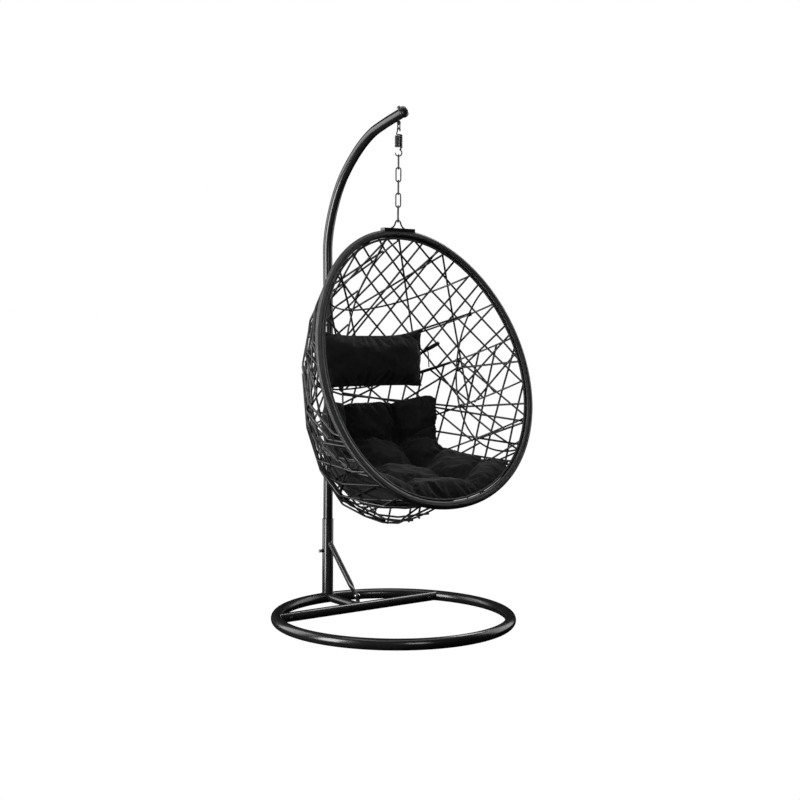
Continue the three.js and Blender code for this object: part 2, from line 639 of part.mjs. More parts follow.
// A point of the basket's outside: level t, and psi from 0 at the right rim to PI at the left rim.
function shellPoint(t, psi) {
  const lean = rad(HOOP_LEAN + HOOP_LEAN_CHANGE * (t - 0.5));
  const inward = BACK.clone().multiplyScalar(Math.cos(lean)).addScaledVector(DOWN, Math.sin(lean));
  const across = halfWidth(t) * Math.cos(psi);
  const deep = hoopDepth(t) * Math.abs(Math.sin(psi)) ** SHELL_SIDE_POWER;
  return mouthCentre(t).add(V(across, 0, 0)).addScaledVector(inward, deep);
}

function rimPoint(angle) {
  const t = (1 - Math.cos(angle)) / 2;
  const side = Math.sign(Math.sin(angle)) || 1;
  return mouthCentre(t).add(V(side * halfWidth(t), 0, 0));
}

function rimPoints(count, offset) {
  const points = Array.from({ length: count }, (_, i) => rimPoint((2 * Math.PI * i) / count));
  if (offset === 0) return points;
  return points.map((p, i) => {
    const tangent = points[(i + 1) % count].clone().sub(points[(i - 1 + count) % count]).normalize();
    return p.clone().addScaledVector(BACK.clone().cross(tangent).normalize(), offset);
  });
}

function addRim() {
  addPart("rim_tube", sweep(rimPoints(44, 0), RIM_TUBE, 10, true, BACK), BLACK_WICKER);
  addPart("rim_bead", sweep(rimPoints(44, BEAD_OFFSET), BEAD_WIRE, 5, true, BACK), BLACK_WICKER);
}

// Everything nearer than this to the rim's centre line is cut from the pieces that meet it.
function rimCutter() {
  return sweep(rimPoints(44, 0), RIM_TUBE + 1, 10, true, BACK);
}

const SHELL_CENTRE = mouthCentre(0.55).addScaledVector(BACK, 150);

function inset(point, distance) {
  return point.sub(SHELL_CENTRE).multiplyScalar(1 - distance / INSET_SCALE).add(SHELL_CENTRE);
}

// The basket as a closed solid: one D-shaped loop at each level, its straight side across the mouth.
// forward: how far the straight side is pushed out of the mouth.
function dome(distance, forward, levels = 20, around = 16) {
  const position = [];
  const index = [];
  const end = 0.0064;
  const perLoop = around + 3;
  for (let i = 0; i <= levels; i++) {
    const t = (1 - Math.cos(end + ((Math.PI - 2 * end) * i) / levels)) / 2;
    const loop = Array.from({ length: around + 1 }, (_, k) => shellPoint(t, (Math.PI * k) / around));
    loop.push(loop.at(-1).clone().addScaledVector(BACK, -forward));
    loop.push(loop[0].clone().addScaledVector(BACK, -forward));
    loop.forEach((p) => position.push(...inset(p, distance).toArray()));
  }
  for (let i = 0; i < levels; i++) {
    for (let k = 0; k < perLoop; k++) {
      const a = i * perLoop + k;
      const b = i * perLoop + ((k + 1) % perLoop);
      index.push(a, b + perLoop, b, a, a + perLoop, b + perLoop);
    }
  }
  const last = levels * perLoop;
  for (let k = 1; k < perLoop - 1; k++) {
    index.push(0, k, k + 1);
    index.push(last, last + k + 1, last + k);
  }
  const g = new THREE.BufferGeometry();
  g.setAttribute("position", new THREE.BufferAttribute(new Float32Array(position), 3));
  g.setIndex(index);
  return g;
}

function addWeave() {
  addPart("basket_weave", cut(dome(0, 1), dome(WEAVE, 80), rimCutter()), BLACK_WICKER);
}

function addHoops() {
  HOOP_LEVELS.forEach((t, i) => {
    const outline = Array.from({ length: 23 }, (_, k) => shellPoint(t, (Math.PI * k) / 22));
    const points = outline.map((p) => inset(p, HOOP_INSET));
    addPart(`cage_hoop_${i + 1}`, cut(sweep(points, ROD, 5, false, DOWN), rimCutter()), BLACK_STEEL);
  });
}

// The angle psi at which the hoop of level t crosses the plane x.
function psiAt(t, x) {
  return Math.acos(THREE.MathUtils.clamp(x / halfWidth(t), -1, 1));
}

// The level, searched downwards or upwards from a known inside level, where the rim is x wide.
function levelOfWidth(x, from, to) {
  let [inside, outside] = [from, to];
  for (let i = 0; i < 40; i++) {
    const middle = (inside + outside) / 2;
    if (halfWidth(middle) > Math.abs(x)) inside = middle;
    else outside = middle;
  }
  return inside;
}

function ribPoints(x, count) {
  const top = x === 0 ? 1e-5 : levelOfWidth(x, 0.5, 0);
  const bottom = x === 0 ? 1 - 1e-5 : levelOfWidth(x, 0.5, 1);
  return Array.from({ length: count + 1 }, (_, i) => {
    const t = top + ((bottom - top) * (1 - Math.cos((Math.PI * i) / count))) / 2;
    return inset(shellPoint(t, psiAt(t, x)), RIB_INSET);
  });
}

function addRibs() {
  RIB_X.forEach((x, i) => {
    const rib = cut(sweep(ribPoints(x, 26), ROD, 5, false, X_AXIS), rimCutter(), beadCutter());
    addPart(RIB_NAMES[i], rib, BLACK_STEEL);
  });
}

function beadCutter() {
  return sweep(rimPoints(44, BEAD_OFFSET), BEAD_WIRE + 1.5, 5, true, BACK);
}

// The hanger: a bent rod whose legs stand on a plate that follows the top of the rim.
function addHanger() {
  const foot = RIM_TOP_Z + RIM_TUBE + GAP + HANGER_PLATE;
  const bendZ = HANGER_TOP - HANGER_BEND;
  const leg = [[HANGER_BEND + 3, bendZ - 5], [HANGER_LEG_X, foot + 5], [HANGER_LEG_X + 8, foot + SEAT_GAP]];
  const bend = Array.from({ length: 7 }, (_, i) => {
    const a = rad(165 - 25 * i);
    return V(HANGER_BEND * Math.cos(a), 0, bendZ + HANGER_BEND * Math.sin(a));
  });
  const left = leg.map(([x, z]) => V(-x, 0, z)).reverse();
  const points = [...left, ...bend, ...leg.map(([x, z]) => V(x, 0, z))];
  const curve = new THREE.CatmullRomCurve3(points, false, "centripetal");
  const wire = sweep(curve.getPoints(22), HANGER_WIRE, 8, false, Y_AXIS).translate(0, HANG_Y, 0);
  const below = new THREE.BoxGeometry(120, 40, 20).translate(0, HANG_Y, foot + GAP - 10);
  addPart("hanger_loop", cut(wire, below), BLACK_STEEL);
  addPart("hanger_plate", hangerPlate(foot), BLACK_STEEL);
}

function hangerPlate(top) {
  const depth = HANGER_PLATE + 14; // down over the rim's shoulders
  const slab = new THREE.BoxGeometry(2 * HANGER_PLATE_X, 26, depth).translate(0, HANG_Y, top - depth / 2);
  const below = new THREE.BoxGeometry(200, 60, 60).translate(0, HANG_Y, RIM_TOP_Z - 26);
  return cut(slab, rimCutter(), below);
}

// ---- cushions -----------------------------------------------------------------------------------
function box(x0, x1, y0, y1, z0, z1) {
  const g = new THREE.BoxGeometry(x1 - x0, y1 - y0, z1 - z0);
  return g.translate((x0 + x1) / 2, (y0 + y1) / 2, (z0 + z1) / 2);
}

// The space over the seat cushion: its upper surface, carried forwards and up.
function overCushion() {
  const across = 12;
  const rows = CUSHION_MIDDLE.length;
  const position = [];
  const index = [];
  for (const shift of [0, 900]) {
    for (let j = 0; j < rows; j++) {
      const [sideX, sideY, sideZ] = CUSHION_SIDE[j];
      const [middleY, middleZ] = CUSHION_MIDDLE[j];
      for (let i = 0; i <= across; i++) {
        const u = (2 * i) / across - 1;
        const spread = 1.5 * u; // past its side, so that the side is cut too
        const rise = u * u;
        const y = middleY + (sideY - middleY) * rise - shift;
        const z = middleZ + (sideZ - middleZ) * rise + shift;
        position.push(spread * sideX * (1 - rise / 3), y, z);
      }
    }
  }
  const at = (layer, j, i) => (layer * rows + j) * (across + 1) + i;
  const quad = (a, b, c, d) => index.push(a, b, c, a, c, d);
  for (let j = 0; j < rows - 1; j++) {
    for (let i = 0; i < across; i++) {
      quad(at(0, j, i), at(0, j, i + 1), at(0, j + 1, i + 1), at(0, j + 1, i));
      quad(at(1, j, i), at(1, j + 1, i), at(1, j + 1, i + 1), at(1, j, i + 1));
    }
    quad(at(0, j, 0), at(0, j + 1, 0), at(1, j + 1, 0), at(1, j, 0));
    quad(at(0, j, across), at(1, j, across), at(1, j + 1, across), at(0, j + 1, across));
  }
  for (let i = 0; i < across; i++) {
    quad(at(0, 0, i), at(1, 0, i), at(1, 0, i + 1), at(0, 0, i + 1));
    quad(at(0, rows - 1, i), at(0, rows - 1, i + 1), at(1, rows - 1, i + 1), at(1, rows - 1, i));
  }
  const g = new THREE.BufferGeometry();
  g.setAttribute("position", new THREE.BufferAttribute(new Float32Array(position), 3));
  g.setIndex(index);
  return g;
}

// Everything farther back than a leaning line, given by y and z of a lower and an upper point on it.
function behindLine(lower, upper, clearance, height) {
  const lean = Math.atan2(upper[0] - lower[0], upper[1] - lower[1]);
  const slab = box(-700, 700, clearance, 700, -100, height);
  return slab.rotateX(-lean).translate(0, lower[0], lower[1]);
}

// The seat cushion fills the bottom of the basket; its back leans in front of the weave.
function addSeatCushion() {
  const mouth = mouthCentre(0.5);
  const front = box(-800, 800, -400, CUSHION_FRONT, -900, 900);
  front.rotateX(-TILT).translate(0, mouth.y, mouth.z);
  const above = box(-700, 700, -700, 700, CUSHION_TOP, 1700);
  const left = box(-700, -CUSHION_HALF, -700, 700, CUSHION_SIDE[3][2], 1700);
  const right = box(CUSHION_HALF, 700, -700, 700, CUSHION_SIDE[3][2], 1700);
  const behind = behindLine(CUSHION_MIDDLE[3], CUSHION_MIDDLE[0], CUSHION_BACK, 400);
  const heel = behindLine(...CUSHION_HEEL, 0, 300);
  const body = cut(dome(CUSHION_INSET, 1, 14, 14), front, overCushion(), above, left, right, behind, heel);
  addPart("seat_cushion", body, BLACK_FABRIC);
}

// A pillow: a grid on each side, crowned in the middle and thin at its edges.
function addPillow() {
  const [w, d, h] = PILLOW_SIZE;
  const nx = 12;
  const nz = 8;
  const position = [];
  const index = [];
  const crown = (u) => Math.max(0.12, 1 - Math.abs(u) ** 2.6);
  for (const side of [-1, 1]) {
    for (let j = 0; j <= nz; j++) {
      for (let i = 0; i <= nx; i++) {
        const u = (2 * i) / nx - 1;
        const v = (2 * j) / nz - 1;
        const y = (side * d * Math.sqrt(crown(u) * crown(v))) / 2;
        const waist = 1 - 0.05 * (1 - u * u);
        position.push((u * w) / 2, y, (v * h * waist) / 2);
      }
    }
  }
  const at = (side, i, j) => side * (nx + 1) * (nz + 1) + j * (nx + 1) + i;
  for (let j = 0; j < nz; j++) {
    for (let i = 0; i < nx; i++) {
      index.push(at(0, i, j), at(0, i + 1, j), at(0, i + 1, j + 1));
      index.push(at(0, i, j), at(0, i + 1, j + 1), at(0, i, j + 1));
      index.push(at(1, i, j), at(1, i + 1, j + 1), at(1, i + 1, j));
      index.push(at(1, i, j), at(1, i, j + 1), at(1, i + 1, j + 1));
    }
  }
  const edge = [];
  for (let i = 0; i < nx; i++) edge.push([i, 0]);
  for (let j = 0; j < nz; j++) edge.push([nx, j]);
  for (let i = nx; i > 0; i--) edge.push([i, nz]);
  for (let j = nz; j > 0; j--) edge.push([0, j]);
  edge.forEach(([i, j], k) => {
    const [m, n] = edge[(k + 1) % edge.length];
    index.push(at(0, m, n), at(0, i, j), at(1, i, j), at(0, m, n), at(1, i, j), at(1, m, n));
  });
  const g = new THREE.BufferGeometry();
  g.setAttribute("position", new THREE.BufferAttribute(new Float32Array(position), 3));
  g.setIndex(index);
  g.rotateX(-rad(PILLOW_LEAN)).translate(...PILLOW_AT);
  addPart("headrest_pillow", g, BLACK_FABRIC);
}

// On each side a tie runs from the pillow's edge to the weave; its free tail hangs from the knot.
function addTies() {
  for (const [side, name] of [[-1, "left"], [1, "right"]]) {
    const edge = V(side * (PILLOW_SIZE[0] / 2 + 2), PILLOW_AT[1] + 6, TIE_Z);
    const far = V(side * TIE_END[0], TIE_END[1], TIE_END[2]);
    const knot = edge.clone().lerp(far, 0.25);
    const strand = rod(edge, far, TIE, 8);
    const ball = new THREE.SphereGeometry(TIE_KNOT, 8, 6).translate(knot.x, knot.y, knot.z);
    addPart(`pillow_tie_${name}`, join(strand, ball), BLACK_FABRIC);
    addPart(`tie_tail_${name}`, tieTail(knot, side), BLACK_FABRIC);
  }
}

// The tail leaves the front of the knot and bends down until it hangs.
function tieTail(knot, side) {
  const start = knot.clone().add(V(0, -TIE_KNOT - GAP, 0));
  const bend = 8;
  const points = [start];
  for (let i = 1; i <= 5; i++) {
    const a = (Math.PI * i) / 10;
    points.push(start.clone().add(V(side * 0.4 * i, -bend * Math.sin(a), -bend * (1 - Math.cos(a)))));
  }
  const straight = TIE_TAIL - (Math.PI * bend) / 2;
  for (let i = 1; i <= 6; i++) {
    points.push(points[5].clone().add(V(side * i * 0.8, 0, (-straight * i) / 6)));
  }
  return sweep(points, TIE, 8, false, X_AXIS);
}

addRing();
addCrossBar();
addSpur();
addPoleSocket();
addBrace();
addLockScrew();
addArm();
addArmCap();
addEyeBolt();
addTopLink();
addSpring();
addLowerHook();
addChain();
addSnapHook();
addHanger();
addRim();
addWeave();
addHoops();
addRibs();
addSeatCushion();
addPillow();
addTies();

export default chair;
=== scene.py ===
"""A hanging egg chair: the looks of each piece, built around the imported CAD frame.

Shapes are worked out in millimetres, as in the CAD model, and become metres in make().
+Z is up, the chair faces -Y, and the origin is on the floor at the centre of the base ring.
"""
import math
import random

import bpy
import numpy as np
from mathutils import Matrix, Vector
from mathutils.kdtree import KDTree


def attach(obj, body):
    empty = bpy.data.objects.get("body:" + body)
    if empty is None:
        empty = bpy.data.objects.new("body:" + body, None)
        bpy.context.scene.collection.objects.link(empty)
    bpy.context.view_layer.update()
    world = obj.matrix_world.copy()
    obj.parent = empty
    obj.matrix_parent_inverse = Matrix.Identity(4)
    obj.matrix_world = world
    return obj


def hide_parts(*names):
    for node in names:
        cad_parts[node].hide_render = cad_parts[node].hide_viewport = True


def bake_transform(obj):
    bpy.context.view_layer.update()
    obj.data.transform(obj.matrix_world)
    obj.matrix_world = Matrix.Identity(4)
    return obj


MM = 0.001
X_AXIS = np.array([1.0, 0.0, 0.0])
Y_AXIS = np.array([0.0, 1.0, 0.0])
Z_AXIS = np.array([0.0, 0.0, 1.0])

# ---- dimensions ---------------------------------------------------------------------------------
RING_RADIUS = 447  # centre line of the base ring
RING_TUBE = 21
RING_JOINT = 79  # degrees from the back to each joint of the ring
BAR_Y = 222
BAR_TUBE = 18.5
BAR_BOLT_X = 334
SPUR_TUBE = 16
POLE_Y = 450
SOCKET_TUBE = 22.5
SOCKET_TOP = 345
ARM_TUBE = 19
ARM_POINTS = [
    (0, 450, 180),
    (0, 450, 700),
    (0, 454, 1150),
    (0, 460, 1350),
    (0, 459, 1475),
    (0, 425, 1594),
    (0, 362, 1708),
    (0, 258, 1812),
    (0, 165, 1871),
    (0, 90, 1897),
    (0, -33, 1929),
]
LOCK_SCREW_Z = 215
BRACE_TUBE = 11
BRACE_TOP = np.array([0, 436, 248.5])
BRACE_BOLT = np.array([0, 247, 60.0])
BRACE_FLAT = 2.5  # half the thickness of its pressed end

HANG_Y = -8  # the vertical line that the basket hangs on
EYE_Z = 1893
EYE_RADIUS = 6.6
EYE_WIRE = 2.5
LINK_YAW = -31
TOP_LINK = (18, 27, 2.25, 1880.2)  # width, length, wire radius and middle height
SPRING_WIRE = 2.4
SPRING_RADIUS = 12.6
SPRING_TOP = 1848
SPRING_BOTTOM = 1801
SPRING_TURNS = 8.5
TOP_HOOK_RADIUS = 6.5
TOP_HOOK_Z = 1867.7
HOOK_RADIUS = 12.3
HOOK_Z = 1781.3
CHAIN_WIRE = 2.5
CHAIN_WIDTH = 23
CHAIN_LENGTH = 58
CHAIN_TOP = 1774.2  # centre line of the first link's top
CHAIN_PITCH = 47.7
SNAP_WIRE = 2.75
SNAP_RADIUS = 10.75
SNAP_HALF = 19.5
SNAP_Z = 1553.4
SNAP_GATE = (-17, 10)
HANGER_WIRE = 3
HANGER_BEND = 12
HANGER_BEND_Z = 1517.8
HANGER_FOOT = 1499.3  # top of the plate that the hanger stands on
HANGER_LEG_X = 22

RIM_TILT = 19
RIM_TOP = np.array([0, HANG_Y, 1480.0])
RIM_LENGTH = 1046
RIM_WIDTH = 942
RIM_BOW = 20  # its middle lies that far ahead of the line from its top to its bottom
BASKET_DEPTH = 620
DEEPEST = 0.615  # the level where the basket is that deep
BEAD_OFFSET = 20.2  # of the bead inside the rim, between centre lines
HOOP_LEVELS = [0.143, 0.258, 0.396, 0.564, 0.709, 0.835]
RIB_X = [-368, 0, 368]
RIB_NAMES = ["cage_rib_left", "cage_rib_middle", "cage_rib_right"]
ROD = 3.5
HOOP_INSET = 10.5
RIB_INSET = 20.5
INSET_SCALE = 450  # mean distance from the basket's middle to its outside
STRIP = 3.9  # radius of the wicker strips
STRIP_PITCH = 5.2  # of the strip wound round the rim

PILLOW_CENTRE = np.array([0, 158, 992.0])
PILLOW_LEAN = 6
PILLOW_HALF_WIDTH = 239
PILLOW_UP = 103
PILLOW_DOWN = 93
PILLOW_HALF_DEPTH = 34
TIE = 2.5
TIE_KNOT = 6
TIE_EDGE = np.array([252, 164, 1026.0])
TIE_END = np.array([305, 123, 1064.0])
TIE_TAIL = 70
TIE_TAIL_BEND = 8
TIE_TAIL_LEAN = 0.4  # sideways, for each step of its path


# ---- shapes -------------------------------------------------------------------------------------
# A shape is its points and a list of groups of faces with the UVs of their corners, (faces, uvs). All
# the faces of a group have as many corners.
def unit(vectors):
    return vectors / np.linalg.norm(vectors, axis=-1, keepdims=True)


def circle(radius, sides):
    """The outline of a round section. Several radii give one outline each."""
    a = 2 * math.pi * np.arange(sides) / sides
    ring = np.stack([np.cos(a), np.sin(a)], 1)
    return np.asarray(radius, float)[..., None, None] * ring


def carried(tangents, closed):
    """Directions square to a path that turn about it as little as they can."""
    start = np.cross(tangents[0], X_AXIS if abs(tangents[0][0]) < 0.8 else Y_AXIS)
    side = [start / np.linalg.norm(start)]
    for t in tangents[1:]:
        v = side[-1] - t * (side[-1] @ t)
        side.append(v / np.linalg.norm(v))
    side = np.array(side)
    if closed:
        last = side[-1] - tangents[0] * (side[-1] @ tangents[0])
        twist = math.atan2(np.cross(last, side[0]) @ tangents[0], last @ side[0])
        turn = (twist * np.arange(len(side)) / len(side))[:, None]
        side = side * np.cos(turn) + np.cross(tangents, side) * np.sin(turn)
    return side


def skinned(rings, lengths, closed=False):
    """A shape from rings of points, capped unless closed. lengths: how far along each ring is."""
    n, sides = rings.shape[:2]
    grid = np.meshgrid(np.arange(n if closed else n - 1), np.arange(sides), indexing="ij")
    i, k = [index.ravel() for index in grid]
    after, beside = (i + 1) % n, (k + 1) % sides
    faces = np.stack([i * sides + k, i * sides + beside, after * sides + beside, after * sides + k], 1)
    u = np.stack([k, k + 1, k + 1, k], 1) / sides
    v = np.stack([lengths[i], lengths[i], lengths[i + 1], lengths[i + 1]], 1) * MM
    groups = [(faces, np.stack([u, v], 2))]
    if not closed:
        caps = np.array([np.arange(sides)[::-1], (n - 1) * sides + np.arange(sides)])
        groups.append((caps, np.zeros((2, sides, 2))))
    return rings.reshape(-1, 3), groups


def sweep(path, outline, closed=False, fixed=None):
    """A section carried along a path. fixed is a direction that the section doesn't turn about."""
    path = np.asarray(path, float)
    ahead = np.roll(path, -1, 0) - np.roll(path, 1, 0) if closed else np.gradient(path, axis=0)
    tangents = unit(ahead)
    side = carried(tangents, closed) if fixed is None else unit(np.cross(fixed, tangents))
    up = np.cross(tangents, side)
    outline = np.broadcast_to(outline, (len(path),) + outline.shape[-2:])
    rings = path[:, None] + outline[..., :1] * side[:, None] + outline[..., 1:] * up[:, None]
    ends = np.vstack([path, path[:1]]) if closed else path
    lengths = np.concatenate([[0], np.cumsum(np.linalg.norm(np.diff(ends, axis=0), axis=1))])
    return skinned(rings, lengths, closed)


def turned(profile, at, axis, sides=32):
    """A solid of revolution, or a prism with few sides, from (radius, height) pairs."""
    axis = unit(np.asarray(axis, float))
    radii, heights = np.array(profile, float).T
    side = unit(np.cross(axis, X_AXIS if abs(axis[0]) < 0.8 else Y_AXIS))
    up = np.cross(axis, side)
    outline = circle(radii, sides)
    centre = np.asarray(at, float) + heights[:, None] * axis
    rings = centre[:, None] + outline[..., :1] * side + outline[..., 1:] * up
    return skinned(rings, heights)


def smooth_curve(points, spacing):
    """Points along a centripetal Catmull-Rom curve, about that far apart."""
    p = np.asarray(points, float)
    p = np.vstack([2 * p[0] - p[1], p, 2 * p[-1] - p[-2]])
    result = []
    for i in range(1, len(p) - 2):
        a, b, c, d = p[i - 1 : i + 3]
        t1, t2, t3 = np.cumsum([math.sqrt(np.linalg.norm(e)) for e in (b - a, c - b, d - c)])
        steps = max(1, round(np.linalg.norm(c - b) / spacing))
        for t in t1 + (t2 - t1) * np.arange(steps) / steps:
            ab = a + (b - a) * t / t1
            bc = b + (c - b) * (t - t1) / (t2 - t1)
            cd = c + (d - c) * (t - t2) / (t3 - t2)
            abc = ab + (bc - ab) * t / t2
            bcd = bc + (cd - bc) * (t - t1) / (t3 - t1)
            result.append(abc + (bcd - abc) * (t - t1) / (t2 - t1))
    return np.array(result + [p[-2]])


def yawed(points, yaw):
    """Points turned about the vertical by yaw degrees."""
    c, s = math.cos(math.radians(yaw)), math.sin(math.radians(yaw))
    return points @ np.array([[c, s, 0], [-s, c, 0], [0, 0, 1]])


def in_scene(name, data):
    thing = bpy.data.objects.new(name, data)
    bpy.context.scene.collection.objects.link(thing)
    return thing


def make(name, shapes, look, body, nodes, sharp=40):
    """One object from several shapes, with its material, that rides on a body and replaces nodes.
    sharp: the angle in degrees from which an edge is not smooth."""
    points, faces, uvs = [], [], []
    for vertices, groups in shapes:
        for corners, uv in groups:
            faces += (corners + len(points)).tolist()
            uvs.append(uv.reshape(-1, 2))
        points += (vertices * MM).tolist()
    mesh = bpy.data.meshes.new(name)
    mesh.from_pydata(points, [], faces)
    layer = mesh.uv_layers.new(name="UVMap")
    layer.data.foreach_set("uv", np.concatenate(uvs).astype(np.float32).ravel())
    mesh.shade_smooth()
    mesh.set_sharp_from_angle(angle=math.radians(sharp))
    mesh.materials.append(look)
    piece = in_scene(name, mesh)
    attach(piece, body)
    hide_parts(*nodes)
    return piece


def keep(node, look, bevel=0.4):
    """A CAD node whose shape is right: it gets a finish and soft edges."""
    piece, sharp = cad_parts[node], math.radians(35)
    for slot in piece.material_slots:
        slot.material = look
    edge = piece.modifiers.new("edges", "BEVEL")
    edge.width = bevel * MM
    edge.segments = 2
    edge.limit_method = "ANGLE"
    edge.angle_limit = sharp
    piece.data.set_sharp_from_angle(angle=sharp)


# ---- materials ----------------------------------------------------------------------------------
class Look:
    """A material being built: its Principled shader and short ways to add nodes."""

    def __init__(self, name, colour, roughness, **sockets):
        self.material = bpy.data.materials.new(name)
        self.material.use_nodes = True
        self.tree = self.material.node_tree
        self.shader = self.tree.nodes["Principled BSDF"]
        self.shader.inputs["Base Color"].default_value = (*colour, 1)
        self.shader.inputs["Roughness"].default_value = roughness
        for socket, value in sockets.items():
            self.shader.inputs[socket.replace("_", " ")].default_value = value

    def node(self, kind, **values):
        """A node. Each value is for its property of that name, or else for its input."""
        node = self.tree.nodes.new(kind)
        for name, value in values.items():
            if hasattr(node, name):
                setattr(node, name, value)
            else:
                node.inputs[name].default_value = value
        return node

    def link(self, output, socket):
        self.tree.links.new(output, socket)

    def split(self, kind):
        """The X, Y and Z of a texture coordinate."""
        parts = self.node("ShaderNodeSeparateXYZ")
        self.link(self.node("ShaderNodeTexCoord").outputs[kind], parts.inputs[0])
        return parts.outputs

    def noise(self, scale, detail=3.0):
        node = self.node("ShaderNodeTexNoise", Scale=scale, Detail=detail)
        self.link(self.node("ShaderNodeTexCoord").outputs["Object"], node.inputs["Vector"])
        return node.outputs["Fac"]

    def spread(self, noise, low, high):
        """Noise stretched to run from low to high."""
        node = self.node("ShaderNodeMapRange")
        for name, value in (("From Min", 0.3), ("From Max", 0.7), ("To Min", low), ("To Max", high)):
            node.inputs[name].default_value = value
        self.link(noise, node.inputs["Value"])
        return node.outputs["Result"]

    def math(self, operation, *values):
        """A sum, product or sine of outputs and numbers."""
        node = self.node("ShaderNodeMath", operation=operation)
        for socket, value in zip(node.inputs, values):
            if isinstance(value, bpy.types.NodeSocket):
                self.link(value, socket)
            else:
                socket.default_value = value
        return node.outputs[0]

    def add(self, first, second):
        return self.math("ADD", first, second)

    def scaled(self, value, factor):
        return self.math("MULTIPLY", value, factor)

    def wave(self, value, count):
        """0 to 1 and back, count times while value goes from 0 to 1."""
        sine = self.math("SINE", self.scaled(value, 2 * math.pi * count))
        return self.add(self.scaled(sine, 0.5), 0.5)

    def tone(self, noise, dark, light):
        """The colour, in patches between two tones."""
        node = self.node("ShaderNodeMix", data_type="RGBA")
        self.link(self.spread(noise, 0, 1), node.inputs["Factor"])
        # the colour sockets of a Mix node are the last A, B and Result
        node.inputs[6].default_value = (*dark, 1)
        node.inputs[7].default_value = (*light, 1)
        self.link(node.outputs[2], self.shader.inputs["Base Color"])

    def gloss(self, noise, low, high):
        """The roughness, in patches between two values."""
        self.link(self.spread(noise, low, high), self.shader.inputs["Roughness"])

    def bump(self, height, distance, strength):
        node = self.node("ShaderNodeBump", Strength=strength, Distance=distance)
        self.link(height, node.inputs["Height"])
        self.link(node.outputs["Normal"], self.shader.inputs["Normal"])


def powder_coat():
    look = Look("black_powder_coat", (0.011, 0.011, 0.012), 0.3)
    look.tone(look.noise(9), (0.009, 0.009, 0.01), (0.014, 0.014, 0.015))
    look.gloss(look.noise(22), 0.19, 0.26)
    grain = look.add(look.noise(1400, 2), look.scaled(look.noise(260), 0.6))
    look.bump(grain, 0.000008, 0.35)
    return look.material


def dark_zinc():
    look = Look("dark_zinc", (0.012, 0.012, 0.013), 0.42, Metallic=0.2)
    look.tone(look.noise(120), (0.009, 0.009, 0.0095), (0.017, 0.017, 0.018))
    look.gloss(look.noise(300), 0.28, 0.5)
    look.bump(look.noise(900), 0.00006, 0.6)
    return look.material


def bright_zinc():
    look = Look("bright_zinc", (0.5, 0.5, 0.51), 0.32, Metallic=1.0)
    look.tone(look.noise(200), (0.4, 0.4, 0.41), (0.58, 0.58, 0.6))
    look.gloss(look.noise(420), 0.25, 0.42)
    look.bump(look.noise(1500), 0.00004, 0.5)
    return look.material


def wicker():
    """Extruded plastic strip: fine ridges along it and a slight change of shade from strip to strip."""
    look = Look("black_wicker", (0.013, 0.013, 0.014), 0.38)
    look.tone(look.noise(14), (0.007, 0.007, 0.008), (0.014, 0.014, 0.015))
    look.gloss(look.noise(60), 0.3, 0.46)
    ridges = look.wave(look.split("UV")[0], 7)
    look.bump(look.add(look.scaled(ridges, 0.8), look.scaled(look.noise(1100), 0.4)), 0.00018, 0.6)
    return look.material


def fabric():
    """Woven polyester: over and under threads, and a little lint."""
    look = Look("black_polyester", (0.006, 0.006, 0.0065), 0.88, Sheen_Weight=0.08, Sheen_Roughness=0.4,
                Specular_IOR_Level=0.18)
    look.tone(look.noise(45, 6), (0.0045, 0.0045, 0.0048), (0.0085, 0.0085, 0.009))
    look.gloss(look.noise(350), 0.78, 0.92)
    x, y, z = look.split("Object")
    threads = look.scaled(look.add(look.wave(x, 900), look.wave(look.add(y, z), 900)), 0.5)
    look.bump(look.add(threads, look.scaled(look.noise(120, 5), 1.5)), 0.0003, 0.45)
    return look.material


def cap_plastic():
    look = Look("black_plastic", (0.01, 0.01, 0.011), 0.3)
    look.tone(look.noise(30), (0.008, 0.008, 0.009), (0.014, 0.014, 0.015))
    look.gloss(look.noise(80), 0.25, 0.36)
    look.bump(look.noise(1200), 0.00006, 0.4)
    return look.material


# ---- camera and free cords ----------------------------------------------------------------------
def add_camera():
    camera = in_scene("camera", bpy.data.cameras.new("camera"))
    heading, pitch, roll = (math.radians(a) for a in (37.2, -3.361, 0.48))
    level = math.cos(pitch)
    forward = Vector((math.sin(heading) * level, math.cos(heading) * level, math.sin(pitch)))
    turn = forward.to_track_quat("-Z", "Y").to_matrix() @ Matrix.Rotation(roll, 3, "Z")
    camera.matrix_world = Matrix.Translation((-3.0905, -4.1012, 1.1542)) @ turn.to_4x4()
    camera.data.lens = 61.008
    camera.data.sensor_width = 36
    bpy.context.scene.camera = camera


def mirrored(point, side):
    return point * (side, 1, 1)


def tie_tail_path(side):
    """Out of the front of the knot, round a small bend, and down."""
    edge, end = mirrored(TIE_EDGE, side), mirrored(TIE_END, side)
    start = edge + 0.25 * (end - edge) + np.array([0, -TIE_KNOT - 0.3, 0])
    points = [start]
    for i in range(1, 6):
        a = math.pi * i / 10
        down = TIE_TAIL_BEND * (1 - math.cos(a))
        points.append(start + (side * TIE_TAIL_LEAN * i, -TIE_TAIL_BEND * math.sin(a), -down))
    straight = TIE_TAIL - math.pi * TIE_TAIL_BEND / 2
    for i in range(1, 13):
        points.append(points[5] + (side * TIE_TAIL_LEAN * i, 0, -straight * i / 12))
    return np.array(points)


def add_tie_tails():
    flat = circle(TIE, 12) * (1.0, 0.62)
    for side, name in ((-1, "left"), (1, "right")):
        path = tie_tail_path(side)
        shape = sweep(path, flat, fixed=Y_AXIS)
        tail = make(f"tail_{name}", [shape], FABRIC, "basket", [f"tie_tail_{name}"])


